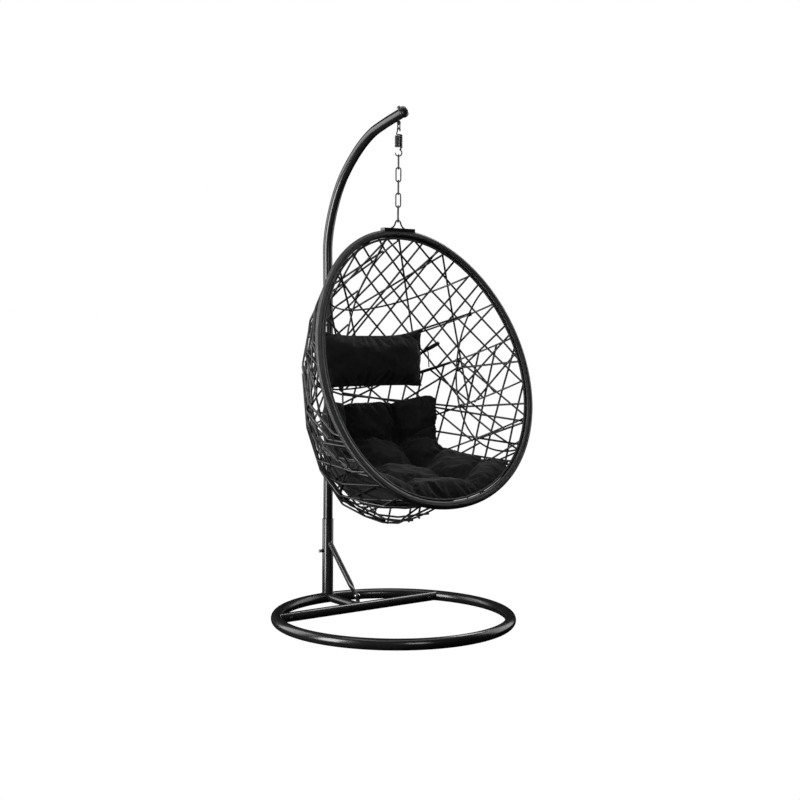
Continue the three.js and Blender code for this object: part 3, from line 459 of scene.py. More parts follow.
# ---- base ---------------------------------------------------------------------------------------
def tube(name, path, radius, node, fixed=None, extra=()):
    """A steel tube of the stand with slightly rounded ends."""
    path = np.asarray(path, float)
    soft = 0.8
    first, last = soft * unit(path[1] - path[0]), soft * unit(path[-1] - path[-2])
    path = np.vstack([path[0], path[0] + first, path[1:-1], path[-1] - last, path[-1]])
    radii = np.full(len(path), float(radius))
    radii[[0, -1]] -= soft
    make(name, [sweep(path, circle(radii, 40), fixed=fixed), *extra], COAT, "stand", [node])


def weld(path, radius=1.8):
    """A weld bead: a low rope of ripples along a closed line."""
    path = np.asarray(path, float)
    n = len(path)
    ripple = radius * (1 + 0.18 * np.sin(np.arange(n) * 2 * math.pi / 4))
    return sweep(path, circle(ripple, 8), closed=True)


def ring_path(start, end):
    a = np.radians(np.linspace(start, end, round(abs(end - start) / 1.5) + 1))
    return np.stack([RING_RADIUS * np.sin(a), RING_RADIUS * np.cos(a), 0 * a + RING_TUBE], 1)


def add_ring():
    tube("base_ring_rear", ring_path(-RING_JOINT, RING_JOINT), RING_TUBE, "ring_rear_arc", fixed=Z_AXIS)
    front = ring_path(RING_JOINT + 0.08, 360 - RING_JOINT - 0.08)
    tube("base_ring_front", front, RING_TUBE, "ring_front_arc", fixed=Z_AXIS)
    for node in ("ring_sleeve_left", "ring_sleeve_right"):
        keep(node, BRIGHT)


def where_tubes_meet(radius, other, count=72):
    """For each angle round a tube, how far from the axis of a wider one it meets that one's surface."""
    a = 2 * math.pi * np.arange(count) / count
    across = radius * np.cos(a)
    return a, np.sqrt(np.maximum(other**2 - across**2, 0))


def add_cross_bar():
    reach = math.sqrt(RING_RADIUS**2 - BAR_Y**2) - 9
    path = [(x, BAR_Y, RING_TUBE) for x in (-reach, 0, reach)]
    tube("base_cross_bar", path, BAR_TUBE, "cross_bar")
    for side, name in ((-1, "left"), (1, "right")):
        keep(f"bar_spigot_{name}", COAT)
        keep(f"bar_nut_{name}", BRIGHT)
        front = (side * BAR_BOLT_X, BAR_Y - BAR_TUBE - 0.5, RING_TUBE)
        bolt(f"bar_screw_{name}", ZINC, front, Y_AXIS, 47, f"bar_bolt_{name}")


def bolt(name, look, at, axis, length, node):
    """A pan-head bolt with a hexagon socket, seen at its head, and a threaded end."""
    head = [(2.3, -4), (3.8, -4), (5.2, -3.4), (6, -2.2), (6, -0.6), (5.4, 0)]
    socket = [(0.05, -1.4), (2.2, -1.6), (2.3, -4)]
    threads = [(3 - 0.28 * (i % 2), length - 12 + 0.5 * i) for i in range(24)]
    shank = [(3, -1), (3, length - 12.5), *threads, (2.4, length)]
    shapes = [turned(head, at, axis), turned(socket, at, axis, 6), turned(shank, at, axis, 24)]
    make(name, shapes, look, "stand", [node])


def add_spur():
    path = [(0, y, RING_TUBE) for y in (BAR_Y + 6, 330, POLE_Y - 14)]
    a, reach = where_tubes_meet(SPUR_TUBE, BAR_TUBE)
    seam = np.stack([SPUR_TUBE * np.sin(a), BAR_Y + reach, RING_TUBE + SPUR_TUBE * np.cos(a)], 1)
    tube("base_spur", path, SPUR_TUBE, "spur_tube", extra=[weld(seam)])


# ---- pole, brace and arm ------------------------------------------------------------------------
def add_pole_socket():
    top = SOCKET_TOP - RING_TUBE
    inner = ARM_TUBE + 0.4
    wall = [
        (SOCKET_TUBE, 3),
        (SOCKET_TUBE, top - 1),
        (SOCKET_TUBE - 0.3, top - 0.3),
        (SOCKET_TUBE - 1, top),
        (inner + 0.5, top),
        (inner, top - 0.6),
        (inner, top - 6),
    ]
    a, reach = where_tubes_meet(SOCKET_TUBE - 2, RING_TUBE)
    radius = SOCKET_TUBE + 0.5
    foot = np.stack([radius * np.sin(a), POLE_Y + radius * np.cos(a), RING_TUBE + reach], 1)
    shapes = [turned(wall, (0, POLE_Y, RING_TUBE), Z_AXIS, 48), weld(foot)]
    make("base_pole_socket", shapes, COAT, "stand", ["pole_socket"])


def add_brace():
    """A round strut whose lower end is pressed flat and rounded off round its bolt."""
    down = unit(BRACE_BOLT - BRACE_TOP)
    full = np.linalg.norm(BRACE_BOLT - BRACE_TOP)
    # distance from the top, half width across, half thickness
    stations = [
        (0, BRACE_TUBE, BRACE_TUBE),
        (full - 62, BRACE_TUBE, BRACE_TUBE),
        (full - 50, 11.3, 9.6),
        (full - 40, 11.6, 6.4),
        (full - 30, 11.2, 3.6),
        (full - 22, 10.4, 2.6),
        (full, 10, BRACE_FLAT),
    ]
    for a in np.radians([20, 40, 55, 68, 78, 86]):
        stations.append((full + 10 * math.sin(a), 10 * math.cos(a), BRACE_FLAT))
    cos, sin = circle(1, 32).T
    outlines = []
    for _, wide, thick in stations:
        square = 1 - 0.55 * (1 - thick / BRACE_TUBE)  # the flat part has square edges
        across = np.sign(cos) * abs(cos) ** square * wide
        outlines.append(np.stack([across, np.sign(sin) * abs(sin) ** square * thick], 1))
    path = [BRACE_TOP + distance * down for distance, _, _ in stations]
    shape = sweep(path, np.array(outlines), fixed=X_AXIS)
    make("base_brace", [shape], COAT, "stand", ["brace_tube"])
    keep("brace_lug", COAT, 0.6)
    keep("brace_nut", BRIGHT)
    bolt("brace_screw", BRIGHT, (-3, *BRACE_BOLT[1:]), X_AXIS, 21, "brace_bolt")


def add_lock_screw():
    keep("lock_nut", COAT)
    at = (-ARM_TUBE - 0.5, POLE_Y, LOCK_SCREW_Z)
    threads = [(4 - 0.35 * (i % 2), 1 + 0.62 * i) for i in range(26)]
    shank = [(3, 0), *threads, (4, 17.3)]
    head = [(6.4, 16.3), (7, 16.9), (7, 21.4), (6, 22.3)]
    shapes = [turned(shank, at, -X_AXIS, 24), turned(head, at, -X_AXIS, 6)]
    make("arm_lock_screw", shapes, BRIGHT, "stand", ["lock_screw"])


def add_arm():
    path = smooth_curve(ARM_POINTS, 14)
    make("arm_tube", [sweep(path, circle(ARM_TUBE, 40), fixed=X_AXIS)], COAT, "stand", ["hanging_arm"])
    skirt = [(15.5, -6), (21.3, 0.3), (22, 0.9), (22, 5), (21.7, 7)]
    dome = [(20.6, 9.3), (18.6, 11.5), (15.6, 13.4), (11.5, 15), (6.5, 16.1), (0.05, 16.5)]
    cap = turned(skirt + dome, ARM_POINTS[-1], path[-1] - path[-2], 40)
    make("arm_cap", [cap], PLASTIC, "stand", ["arm_end_cap"])


# ---- suspension ---------------------------------------------------------------------------------
def on_hang_line(shape, yaw=0, z=0):
    """A shape turned about the vertical by yaw degrees and put on the line that the basket hangs on."""
    points, groups = shape
    return yawed(points, yaw) + (0, HANG_Y, z), groups


def arc(radius, start, end, count, height=0):
    """Points of an upright arc between two angles in degrees."""
    return [(radius * math.cos(a), 0, height + radius * math.sin(a))
            for a in np.radians(np.linspace(start, end, count))]


def link_shape(width, length, wire):
    """A closed link with a swelling in one side, where its ends are welded."""
    r = width / 2 - wire
    half = length / 2 - wire - r
    side = np.linspace(half, -half, 12)[1:-1]
    path = np.array([*arc(r, 0, 180, 17, half), *[(-r, 0, z) for z in side],
                     *arc(r, 180, 360, 17, -half), *[(r, 0, -z) for z in side]])
    at_weld = np.exp(-((path[:, 2] / 2.5) ** 2)) * (path[:, 0] > 0)
    return sweep(path, circle(wire * (1 + 0.14 * at_weld), 16), closed=True, fixed=Y_AXIS)


def add_eye_bolt():
    eye = sweep(arc(EYE_RADIUS, 0, 351, 40), circle(EYE_WIRE, 16), closed=True, fixed=Y_AXIS)
    threads = [(EYE_WIRE - 0.25 * (i % 2), 46 + 0.5 * i) for i in range(36)]
    profile = [(EYE_WIRE, 0), (EYE_WIRE, 45.5), *threads, (2, 64)]
    shank = turned(profile, (0, 0, EYE_RADIUS - 7), Z_AXIS, 20)
    shapes = [on_hang_line(shape, 0, EYE_Z) for shape in (eye, shank)]
    make("arm_eye_bolt", shapes, ZINC, "stand", ["eye_bolt"])
    keep("eye_bolt_washer", ZINC, 0.2)
    keep("eye_bolt_nut", ZINC)


def spring_path():
    """From the upper hook's tip, down through the coil."""
    points = arc(TOP_HOOK_RADIUS, -50, 180, 16, TOP_HOOK_Z)
    points.append((-TOP_HOOK_RADIUS, 0, TOP_HOOK_Z - 6))
    points.append((-SPRING_RADIUS * 0.8, 0, SPRING_TOP + 4))
    steps = round(SPRING_TURNS * 24)
    for i in range(steps + 1):
        a = math.pi + math.radians(20) + 2 * math.pi * i / 24
        z = SPRING_TOP + (SPRING_BOTTOM - SPRING_TOP) * i / steps
        points.append((SPRING_RADIUS * math.cos(a), SPRING_RADIUS * math.sin(a), z))
    return smooth_curve(points, 3)


def add_spring():
    """The coil, and its lower hook, which starts where the coil ends."""
    path = spring_path()
    coil = on_hang_line(sweep(path, circle(SPRING_WIRE, 12)))
    piece = make("coil_spring", [coil], ZINC, "spring", ["spring"])
    piece.parent = None
    top, bottom = (0, HANG_Y * MM, SPRING_TOP * MM), (0, HANG_Y * MM, SPRING_BOTTOM * MM)
    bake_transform(piece)
    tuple(top)
    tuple(bottom)
    start = [yawed(path[-1], -LINK_YAW), (9, 3, SPRING_BOTTOM - 5.2)]
    points = smooth_curve([*start, *arc(HOOK_RADIUS, 70, -180, 30, HOOK_Z)], 1.5)
    hook = on_hang_line(sweep(points, circle(SPRING_WIRE, 12)), LINK_YAW)
    make("coil_spring_hook", [hook], ZINC, "spring_hook", ["spring_lower_hook"])


def add_chain():
    *size, z = TOP_LINK
    make("chain_top_link", [on_hang_line(link_shape(*size), 90, z)], ZINC, "top_link", ["top_link"])
    for i in range(4):
        z = CHAIN_TOP - CHAIN_PITCH * i - (CHAIN_LENGTH - 2 * CHAIN_WIRE) / 2
        yaw = LINK_YAW + 90 if i % 2 == 0 else LINK_YAW
        shape = on_hang_line(link_shape(CHAIN_WIDTH, CHAIN_LENGTH, CHAIN_WIRE), yaw, z)
        make(f"chain_piece_{i + 1}", [shape], ZINC, f"link_{i + 1}", [f"chain_link_{i + 1}"])


def add_snap_hook():
    r, (pivot, tip) = SNAP_RADIUS, SNAP_GATE
    path = [(-r, 0, tip + 5), *arc(r, 180, 0, 20, SNAP_HALF), *arc(r, 0, -180, 20, -SNAP_HALF),
            (-r, 0, pivot + 1)]
    hook = sweep(smooth_curve(path, 2), circle(SNAP_WIRE, 16), fixed=Y_AXIS)
    profile = [(2.0, pivot - 1), (2.3, pivot + 3), (2.3, tip + 3.6), (1.9, tip + 4.2)]
    gate = turned(profile, (-r, 0, 0), Z_AXIS, 20)
    yaw = LINK_YAW + 90
    make("snap_hook_body", [on_hang_line(hook, yaw, SNAP_Z)], ZINC, "snap_hook", ["snap_hook"])
    make("snap_hook_gate", [on_hang_line(gate, yaw, SNAP_Z)], ZINC, "snap_gate", ["snap_gate"])
    keep("snap_gate_pin", BRIGHT, 0.2)


def add_hanger():
    leg = [(HANGER_BEND + 3, 0, HANGER_BEND_Z - 5), (HANGER_LEG_X, 0, HANGER_FOOT + 5),
           (HANGER_LEG_X + 8, 0, HANGER_FOOT + 0.5)]
    left = [(-x, y, z) for x, y, z in reversed(leg)]
    path = smooth_curve([*left, *arc(HANGER_BEND, 165, 15, 13, HANGER_BEND_Z), *leg], 2)
    wire = sweep(path, circle(HANGER_WIRE, 20), fixed=Y_AXIS)
    make("hanger_wire", [on_hang_line(wire)], COAT, "basket", ["hanger_loop"])
    keep("hanger_plate", COAT)


# ---- basket: its surface ------------------------------------------------------------------------
# A level t runs from 0 at the rim's top to 1 at its bottom.
TILT = math.radians(RIM_TILT)
DOWN = np.array([0, -math.sin(TILT), -math.cos(TILT)])
BACK = np.array([0, math.cos(TILT), -math.sin(TILT)])


def half_width(t):
    c = 1 - 2 * t
    s = math.sqrt(max(0, 1 - c * c))
    return RIM_WIDTH / 2 * s**0.96 * (1 - 0.06 * c)


def mouth_centre(t):
    return RIM_TOP + DOWN * RIM_LENGTH * t - BACK * RIM_BOW * 4 * t * (1 - t)


def hoop_depth(t):
    level = t ** (math.log(0.5) / math.log(DEEPEST))
    return BASKET_DEPTH * max(0, 4 * level * (1 - level)) ** 0.31


def shell_point(t, psi):
    """A point of the basket's outside: level t, and psi from 0 at the right rim to pi at the left."""
    lean = math.radians(4 + 5.6 * (t - 0.5))
    inward = BACK * math.cos(lean) + DOWN * math.sin(lean)
    deep = hoop_depth(t) * abs(math.sin(psi)) ** 1.6
    return mouth_centre(t) + X_AXIS * half_width(t) * math.cos(psi) + inward * deep


def rim_point(angle):
    """A point of the rim's centre line: angle from 0 at its top, and to the right first."""
    t = (1 - math.cos(angle)) / 2
    side = -1 if math.sin(angle) < 0 else 1
    return mouth_centre(t) + X_AXIS * side * half_width(t)


SHELL_CENTRE = mouth_centre(0.55) + BACK * 150


def inset(point, distance):
    return SHELL_CENTRE + (point - SHELL_CENTRE) * (1 - distance / INSET_SCALE)


def skin(t, x, distance):
    """The point at level t and sideways x, that far inside the basket's outside."""
    psi = math.acos(min(1, max(-1, x / half_width(t))))
    return inset(shell_point(t, psi), distance)


def level_of_width(x, start, end):
    """The level where the basket is that wide, between a wide one and a narrow one."""
    for _ in range(40):
        middle = (start + end) / 2
        if half_width(middle) > abs(x):
            start = middle
        else:
            end = middle
    return start


def hoop_line(t, distance, steps):
    """A level's line round the basket, from rim to rim, that far inside its outside."""
    return np.array([inset(shell_point(t, math.pi * k / steps), distance) for k in range(steps + 1)])


def rib_levels(x, steps):
    """Levels down the basket from rim to rim at sideways x, closer together at both ends."""
    top = level_of_width(x, 0.5, 0) if x else 1e-5
    bottom = level_of_width(x, 0.5, 1) if x else 1 - 1e-5
    return [top + (bottom - top) * (1 - math.cos(math.pi * k / steps)) / 2 for k in range(steps + 1)]


def rim_line(offset, spacing):
    """A closed line round the mouth, offset inwards from the rim's centre line, evenly spaced."""
    rough = np.array([rim_point(2 * math.pi * i / 720) for i in range(720)])
    tangents = unit(np.roll(rough, -1, 0) - np.roll(rough, 1, 0))
    rough = rough + offset * unit(np.cross(BACK, tangents))
    closed = np.vstack([rough, rough[:1]])
    lengths = np.concatenate([[0], np.cumsum(np.linalg.norm(np.diff(closed, axis=0), axis=1))])
    count = round(lengths[-1] / spacing)
    at = lengths[-1] * np.arange(count) / count
    return np.stack([np.interp(at, lengths, closed[:, k]) for k in range(3)], 1)


# ---- basket: rim and cage -----------------------------------------------------------------------
def wound(offset, core, strip, sides):
    """A rod under close turns of a round strip, as one surface with a ridge for each turn."""
    per_turn = 5
    path = rim_line(offset, STRIP_PITCH / per_turn)
    path = path[: len(path) // per_turn * per_turn]
    phase = np.arange(len(path))[:, None] / per_turn + np.arange(sides)[None] / sides
    ridge = np.abs(np.sin(math.pi * phase)) ** 0.6
    radii = core + strip * ridge
    return sweep(path, circle(1, sides) * radii[..., None], closed=True, fixed=BACK)


def add_rim():
    rim, bead = wound(0, 12.9, 2.1, 22), wound(BEAD_OFFSET, 3.0, 1.5, 10)
    make("rim_winding", [rim], WICKER, "basket", ["rim_tube"], 80)
    make("rim_cord_winding", [bead], WICKER, "basket", ["rim_bead"], 80)


def add_cage():
    for i, t in enumerate(HOOP_LEVELS):
        shape = sweep(hoop_line(t, HOOP_INSET, 90), circle(ROD, 12), fixed=DOWN)
        make(f"cage_rod_{i + 1}", [shape], COAT, "basket", [f"cage_hoop_{i + 1}"])
    for x, node in zip(RIB_X, RIB_NAMES):
        levels = rib_levels(x, 90)
        path = [skin(t, x, RIB_INSET) for t in levels]
        ends = [skin(t, x, 6) - BACK * 4 for t in (levels[0], levels[-1])]
        shape = sweep([ends[0], *path, ends[1]], circle(ROD, 12), fixed=X_AXIS)
        make(f"{node}_rod", [shape], COAT, "basket", [node])


# ---- basket: weave ------------------------------------------------------------------------------
# Each strip lies in a plane and is pulled tight over the cage. The planes of a family contain one
# level direction, so that its strips look straight from there. A family: angle from upright (a
# positive one leans down to the right), its spread, the spacing, the heights between which its
# strips run, and whether they run past the middle. The left half mirrors the right.
OBLIQUE = 37  # degrees from straight ahead to the direction that the right half's families look along
FAMILIES = [
    (42, 4, 66, 960, 1500, True),
    (-42, 4, 68, 990, 1500, True),
    (12, 5, 200, 960, 1500, True),
    (-13, 3, 62, 300, 900, False),
    (84, 4, 92, 540, 830, False),
    (54, 5, 104, 760, 900, False),
    (-60, 5, 84, 300, 560, True),
    (62, 5, 96, 300, 560, True),
]
BELLY_LEVELS = [0.63, 0.67, 0.75, 0.79, 0.87, 0.91, 0.95, 0.98]  # where strips bend round the cushion
BELLY_INSET = 20
SHORTEST_STRIP = 90
LEFT_SPARSER = 1.5  # the spacing of the families that run on to the left, in the left half's own


def crossings(line, normal, level):
    """Where a polyline passes through a plane."""
    side = line @ normal - level
    i = np.nonzero(side[:-1] * side[1:] < 0)[0]
    share = (side[i] / (side[i] - side[i + 1]))[:, None]
    return line[i] + share * (line[i + 1] - line[i])


def hull(points):
    """The corners of the convex outline of points in a plane, in order round it, by index."""
    order = sorted(range(len(points)), key=lambda i: tuple(points[i]))
    halves = []
    for sequence in (order, order[::-1]):
        half = []
        for i in sequence:
            while len(half) > 1:
                (ax, ay), (bx, by) = points[half[-2]], points[half[-1]]
                if (bx - ax) * (points[i][1] - ay) - (by - ay) * (points[i][0] - ax) > 0:
                    break
                half.pop()
            half.append(i)
        halves += half[:-1]
    return halves


class Cage:
    """The lines that strips are pulled over, and the closed line inside the rim where they end."""

    def __init__(self):
        lift = ROD + STRIP - 1
        self.lines = [hoop_line(t, HOOP_INSET - lift, 120) for t in HOOP_LEVELS]
        for x in RIB_X:
            rib = np.array([skin(t, x, RIB_INSET - lift) for t in rib_levels(x, 120)])
            self.lines.append(rib)
            if x == 0:
                self.middle = rib
        self.rods = len(self.lines)
        self.lines += [hoop_line(t, BELLY_INSET, 120)[3:118] for t in BELLY_LEVELS]
        rim = rim_line(9, 8) + BACK * 7
        self.rim = np.vstack([rim, rim[:1]])

    @staticmethod
    def axes(heading, angle):
        """The normal of a strip's plane, and its two directions: along the strip and ahead."""
        ahead = unit(np.array([math.sin(heading), math.cos(heading), -0.06]))
        right = np.array([math.cos(heading), -math.sin(heading), 0])
        along = math.sin(angle) * right - math.cos(angle) * np.cross(right, ahead)
        return np.cross(ahead, along), along, ahead

    def strip(self, through, heading, angle, layer):
        """A strip's corners from rim to rim, in a plane through a point, and which are on a rod."""
        normal, along, ahead = self.axes(heading, angle)
        level = through @ normal
        ends = crossings(self.rim, normal, level)
        if len(ends) != 2:
            return None, None
        groups = [ends, *(crossings(line, normal, level) for line in self.lines)]
        found = np.vstack(groups)
        firm = sum(len(group) for group in groups[: self.rods + 1])
        found[2:] += layer * unit(found[2:] - SHELL_CENTRE)
        loop = hull(np.stack([found @ along, found @ ahead], 1))
        if 0 not in loop or 1 not in loop:
            return None, None
        start = loop.index(0)
        loop = loop[start:] + loop[:start]
        end = loop.index(1)
        way, back = loop[: end + 1], loop[end:] + loop[:1]
        way = np.array(way if len(way) > len(back) else back)
        return found[way], way < firm

    def up_to_middle(self, path, plane, side):
        """The part of a strip on one side, ended on the middle rib."""
        beyond = [i for i, point in enumerate(path) if side * point[0] < 0]
        if not beyond:
            return path
        through, heading, angle = plane
        normal = self.axes(heading, angle)[0]
        ends = crossings(self.middle, normal, through @ normal)
        if len(ends) == 0:
            return path[: beyond[0]]
        near = path[max(beyond[0] - 1, 0)]
        end = min(ends, key=lambda point: np.linalg.norm(point - near))
        return np.vstack([path[: beyond[0]], end])


def rounded(points, radius=7):
    """A path with its corners rounded off, and points that all but coincide left out."""
    steps = np.linalg.norm(np.diff(points, axis=0), axis=1)
    points = points[np.concatenate([[True], steps > 2])]
    path = [points[0]]
    for a, b, c in zip(points, points[1:], points[2:]):
        before = min(radius, 0.4 * np.linalg.norm(a - b))
        after = min(radius, 0.4 * np.linalg.norm(c - b))
        start, end = b + unit(a - b) * before, b + unit(c - b) * after
        for s in (0, 0.33, 0.67, 1):
            path.append((1 - s) ** 2 * start + 2 * s * (1 - s) * b + s * s * end)
    return np.array(path + [points[-1]])


def helix(centre, axis, radius, turns, pitch):
    """A coil about an axis, with its middle at centre."""
    axis = unit(axis)
    side = unit(np.cross(axis, BACK + 0.01 * X_AXIS))
    up = np.cross(axis, side)
    a = np.linspace(0, 2 * math.pi * turns, round(12 * turns) + 1)
    rise = (a / (2 * math.pi) - turns / 2) * pitch
    around = np.cos(a)[:, None] * side + np.sin(a)[:, None] * up
    return centre + axis * rise[:, None] + radius * around


def node_winding(t, x):
    """A few turns of strip round a hoop, where a rib crosses it."""
    centre, beside = skin(t, x, HOOP_INSET), skin(t, x + 4, HOOP_INSET)
    return sweep(helix(centre, beside - centre, ROD + 2.2, 3, 5.4), circle(2.6, 8))


def family_planes(chance, side, angle, spread, spacing):
    """(a point, heading, angle) of each plane of a family, from the top down. side: 1 is the right."""
    heading = math.radians(side * OBLIQUE)
    right = np.array([math.cos(heading), -math.sin(heading), 0])
    a = math.radians(side * angle)
    across = math.cos(a) * right + math.sin(a) * Z_AXIS
    middle = mouth_centre(0.5) + BACK * 120
    planes = []
    for offset in np.arange(-560, 560, spacing):
        through = middle + across * (offset + chance.uniform(-0.13, 0.13) * spacing)
        planes.append((through, heading, a + math.radians(chance.uniform(-spread, spread))))
    return planes


def between(path, firm, low, high):
    """The part of a strip between two heights, and on to the next rod at each end."""
    inside = [low < point[2] < high for point in path]
    if not any(inside):
        return path[:0]
    start = inside.index(True)
    first = next((i for i in range(start - 1, -1, -1) if firm[i]), 0)
    outside = (i for i in range(start, len(path)) if firm[i] and not inside[i])
    return path[first : next(outside, len(path)) + 1]


def half_strips(chance, cage, side):
    """The strips of one half, from the rim to the middle rib or past it. side: 1 is the right."""
    for angle, spread, spacing, low, high, past in FAMILIES:
        if side < 0 and past:
            spacing, past = LEFT_SPARSER * spacing, False
        for plane in family_planes(chance, side, angle, spread, spacing):
            path, firm = cage.strip(*plane, chance.choice((0.0, 2 * STRIP)))
            if path is None:
                continue
            if side * path[0][0] < side * path[-1][0]:
                path, firm = path[::-1], firm[::-1]
            path = between(path, firm, low, high)
            yield path if past else cage.up_to_middle(path, plane, side)


def node_strips(chance, cage, nodes):
    """A strip from the rim to each crossing of a hoop and a rib."""
    for t, x in nodes:
        node = skin(t, x, HOOP_INSET - ROD - STRIP + 1)
        heading = math.radians(chance.uniform(-OBLIQUE, OBLIQUE))
        path, _ = cage.strip(node, heading, math.radians(chance.uniform(-90, 90)), 0.0)
        if path is None:
            continue
        path = path if chance.random() < 0.5 else path[::-1]
        near = (i for i, point in enumerate(path) if np.linalg.norm(point - node) < 12)
        yield path[: next(near, len(path)) + 1]


def add_weave():
    chance = random.Random(7)
    cage = Cage()
    nodes = [(t, x) for t in HOOP_LEVELS for x in RIB_X if abs(x) < half_width(t) - 30]
    paths = [path for side in (1, -1) for path in half_strips(chance, cage, side)]
    paths += node_strips(chance, cage, nodes)
    shapes = [node_winding(*node) for node in nodes]
    for path in paths:
        if len(path) > 1 and np.linalg.norm(path[0] - path[-1]) > SHORTEST_STRIP:
            shapes.append(sweep(rounded(path), circle(STRIP, 8)))
    make("weave_strips", shapes, WICKER, "basket", ["basket_weave"], 60)


# ---- cushions -----------------------------------------------------------------------------------
# Rows of the seat cushion from the top of its back to its front edge: y and z along the middle,
# then x, y and z of its side, then its thickness.
CUSHION_ROWS = np.array([
    (186, 834, 262, 74, 870, 56),
    (180, 775, 260, 70, 796, 78),
    (140, 706, 254, 60, 728, 86),
    (72, 642, 250, 40, 670, 112),
    (-36, 588, 302, -56, 638, 150),
    (-165, 560, 334, -178, 632, 118),
    (-288, 546, 338, -306, 632, 56),
    (-332, 504, 318, -342, 594, 26),
], float)
SEAMS = (-0.36, 0.36)  # across the cushion, between its three columns
TUFT_ROWS = (0.31, 0.52, 0.73)  # down the cushion
CUSHION_INSET = 28  # of its underside, inside the basket's outside
CUSHION_LIFT = 18  # of its lobes above the rows


def closed_form(top, bottom):
    """One shape from two grids of points that share their borders."""
    rows, columns = top.shape[:2]
    index = np.arange(rows * columns).reshape(rows, columns)
    under = index + rows * columns
    border = np.zeros((rows, columns), bool)
    border[[0, -1]] = border[:, [0, -1]] = True
    under[border] = index[border]

    def quads(g):
        return np.stack([g[:-1, :-1], g[:-1, 1:], g[1:, 1:], g[1:, :-1]], 2).reshape(-1, 4)

    inner = np.flatnonzero(~border.ravel())
    renumber = np.concatenate([np.arange(rows * columns), np.zeros(rows * columns, int)])
    renumber[rows * columns + inner] = rows * columns + np.arange(len(inner))
    points = np.vstack([top.reshape(-1, 3), bottom.reshape(-1, 3)[inner]])
    faces = renumber[np.vstack([quads(index)[:, ::-1], quads(under)])]
    return points, [(faces, np.zeros((len(faces), 4, 2)))]


def along_rows(rows, v):
    """Values of a table of evenly spaced rows, interpolated smoothly."""
    at = np.clip(v, 0, 1) * (len(rows) - 1)
    i = np.clip(at.astype(int), 0, len(rows) - 2)
    f = (at - i)[:, None]
    before = rows[np.maximum(i - 1, 0)]
    a, b = rows[i], rows[i + 1]
    after = rows[np.minimum(i + 2, len(rows) - 1)]
    start, end = (b - before) / 2, (after - a) / 2
    return ((2 * f**3 - 3 * f**2 + 1) * a + (f**3 - 2 * f**2 + f) * start
            + (3 * f**2 - 2 * f**3) * b + (f**3 - f**2) * end)


def ripples(points, directions, sizes, chance):
    """Soft creases: a sum of waves of random direction, each sharpened into folds."""
    total = np.zeros(points.shape[:-1])
    for size, height in sizes:
        for _ in range(directions):
            axis = unit(np.array([chance.gauss(0, 1) for _ in range(3)]))
            turn = 2 * math.pi / size
            phase = points @ axis * turn + chance.uniform(0, 6.3)
            bend = np.sin(points @ axis[[1, 2, 0]] * turn / 3.1 + chance.uniform(0, 6.3))
            total += height * (1 - 2 * np.abs(np.sin(phase + 1.3 * bend))) / directions
    return total


def hollows(U, W):
    """How far the seams, the creases between the tufts and the tufts themselves draw the top down."""
    sunk = np.zeros_like(U)
    for seam in SEAMS:
        wander = seam * (1 + 0.06 * np.sin(7 * W))
        depth = 24 - 40 * np.clip(W - 0.72, 0, 0.5)
        sunk += depth * np.exp(-np.abs(U - wander) / 0.07)
    for row in TUFT_ROWS:
        line = row + 0.02 * np.sin(5 * U) - 0.035 * U**2
        sunk += 15 * np.exp(-np.abs(W - line) / 0.03)
    for seam in SEAMS:
        for row in TUFT_ROWS:
            away = np.hypot((U - seam) * 290, (W - row) * 820)
            sunk += 22 * np.exp(-((away / 36) ** 2)) + 10 * np.exp(-away / 60)
    return np.minimum(sunk, 52)


def finder(points):
    """A tree that finds the nearest of the points."""
    tree = KDTree(len(points))
    for i, point in enumerate(points):
        tree.insert(point, i)
    tree.balance()
    return tree


def clear_of_weave(points, distance):
    """Points moved in, towards the basket's middle, to lie at least that far inside its outside,
    or 10 mm less at the rim, which has no cage inside it."""
    grid = []
    for t in np.linspace(0.3, 0.995, 90):
        for psi in np.linspace(0.02, math.pi - 0.02, 110):
            point = shell_point(t, psi)
            depth = (point - mouth_centre(t)) @ BACK
            grid.append(inset(point, distance - 10 * math.exp(-max(depth, 0) / 60)))
    arms = np.array(grid) - SHELL_CENTRE
    reach = np.linalg.norm(arms, axis=1)
    tree = finder(unit(arms))
    out = points.reshape(-1, 3) - SHELL_CENTRE
    for i, arm in enumerate(out):
        length = np.linalg.norm(arm)
        near = tree.find_n(arm / length, 4)
        weights = np.array([1 / (1e-4 + away) for _, _, away in near])
        limit = weights @ reach[[index for _, index, _ in near]] / weights.sum()
        if length > limit:
            out[i] = arm * (limit / length)
    return (out + SHELL_CENTRE).reshape(points.shape)


def eased(count):
    """From -1 to 1 in small steps at both ends."""
    return np.sin(np.linspace(-math.pi / 2, math.pi / 2, count))


def round_edge(across, power):
    """The swelling of a sewn edge: 1 in the middle, falling to 0 at -1 and 1."""
    return np.sqrt(np.clip(1 - np.abs(across) ** power, 0, 1))


def seat_base(U, W, table):
    """The middle surface of the seat cushion: U across it from -1 to 1, W down it from 0 to 1."""
    rise = (np.abs(U) ** 2.2)[..., None]
    middle = np.stack([0 * table[:, 0], table[:, 0], table[:, 1]], 1)[:, None]
    side = table[:, 2:5][:, None]
    base = middle * (1 - rise) + side * rise
    base[..., 0] = side[..., 0] * (1.22 * U - 0.22 * U**3)
    for seam in SEAMS:
        base[..., 2] -= 12 * np.exp(-np.abs(U - seam) / 0.1) * np.clip(1 - 9 * W, 0, 1)
    corner = np.clip(5 * np.abs(U) - 4, 0, 1) ** 2 * np.clip(1 - 16 * W, 0, 1)
    base[..., 2] -= 22 * corner
    return base


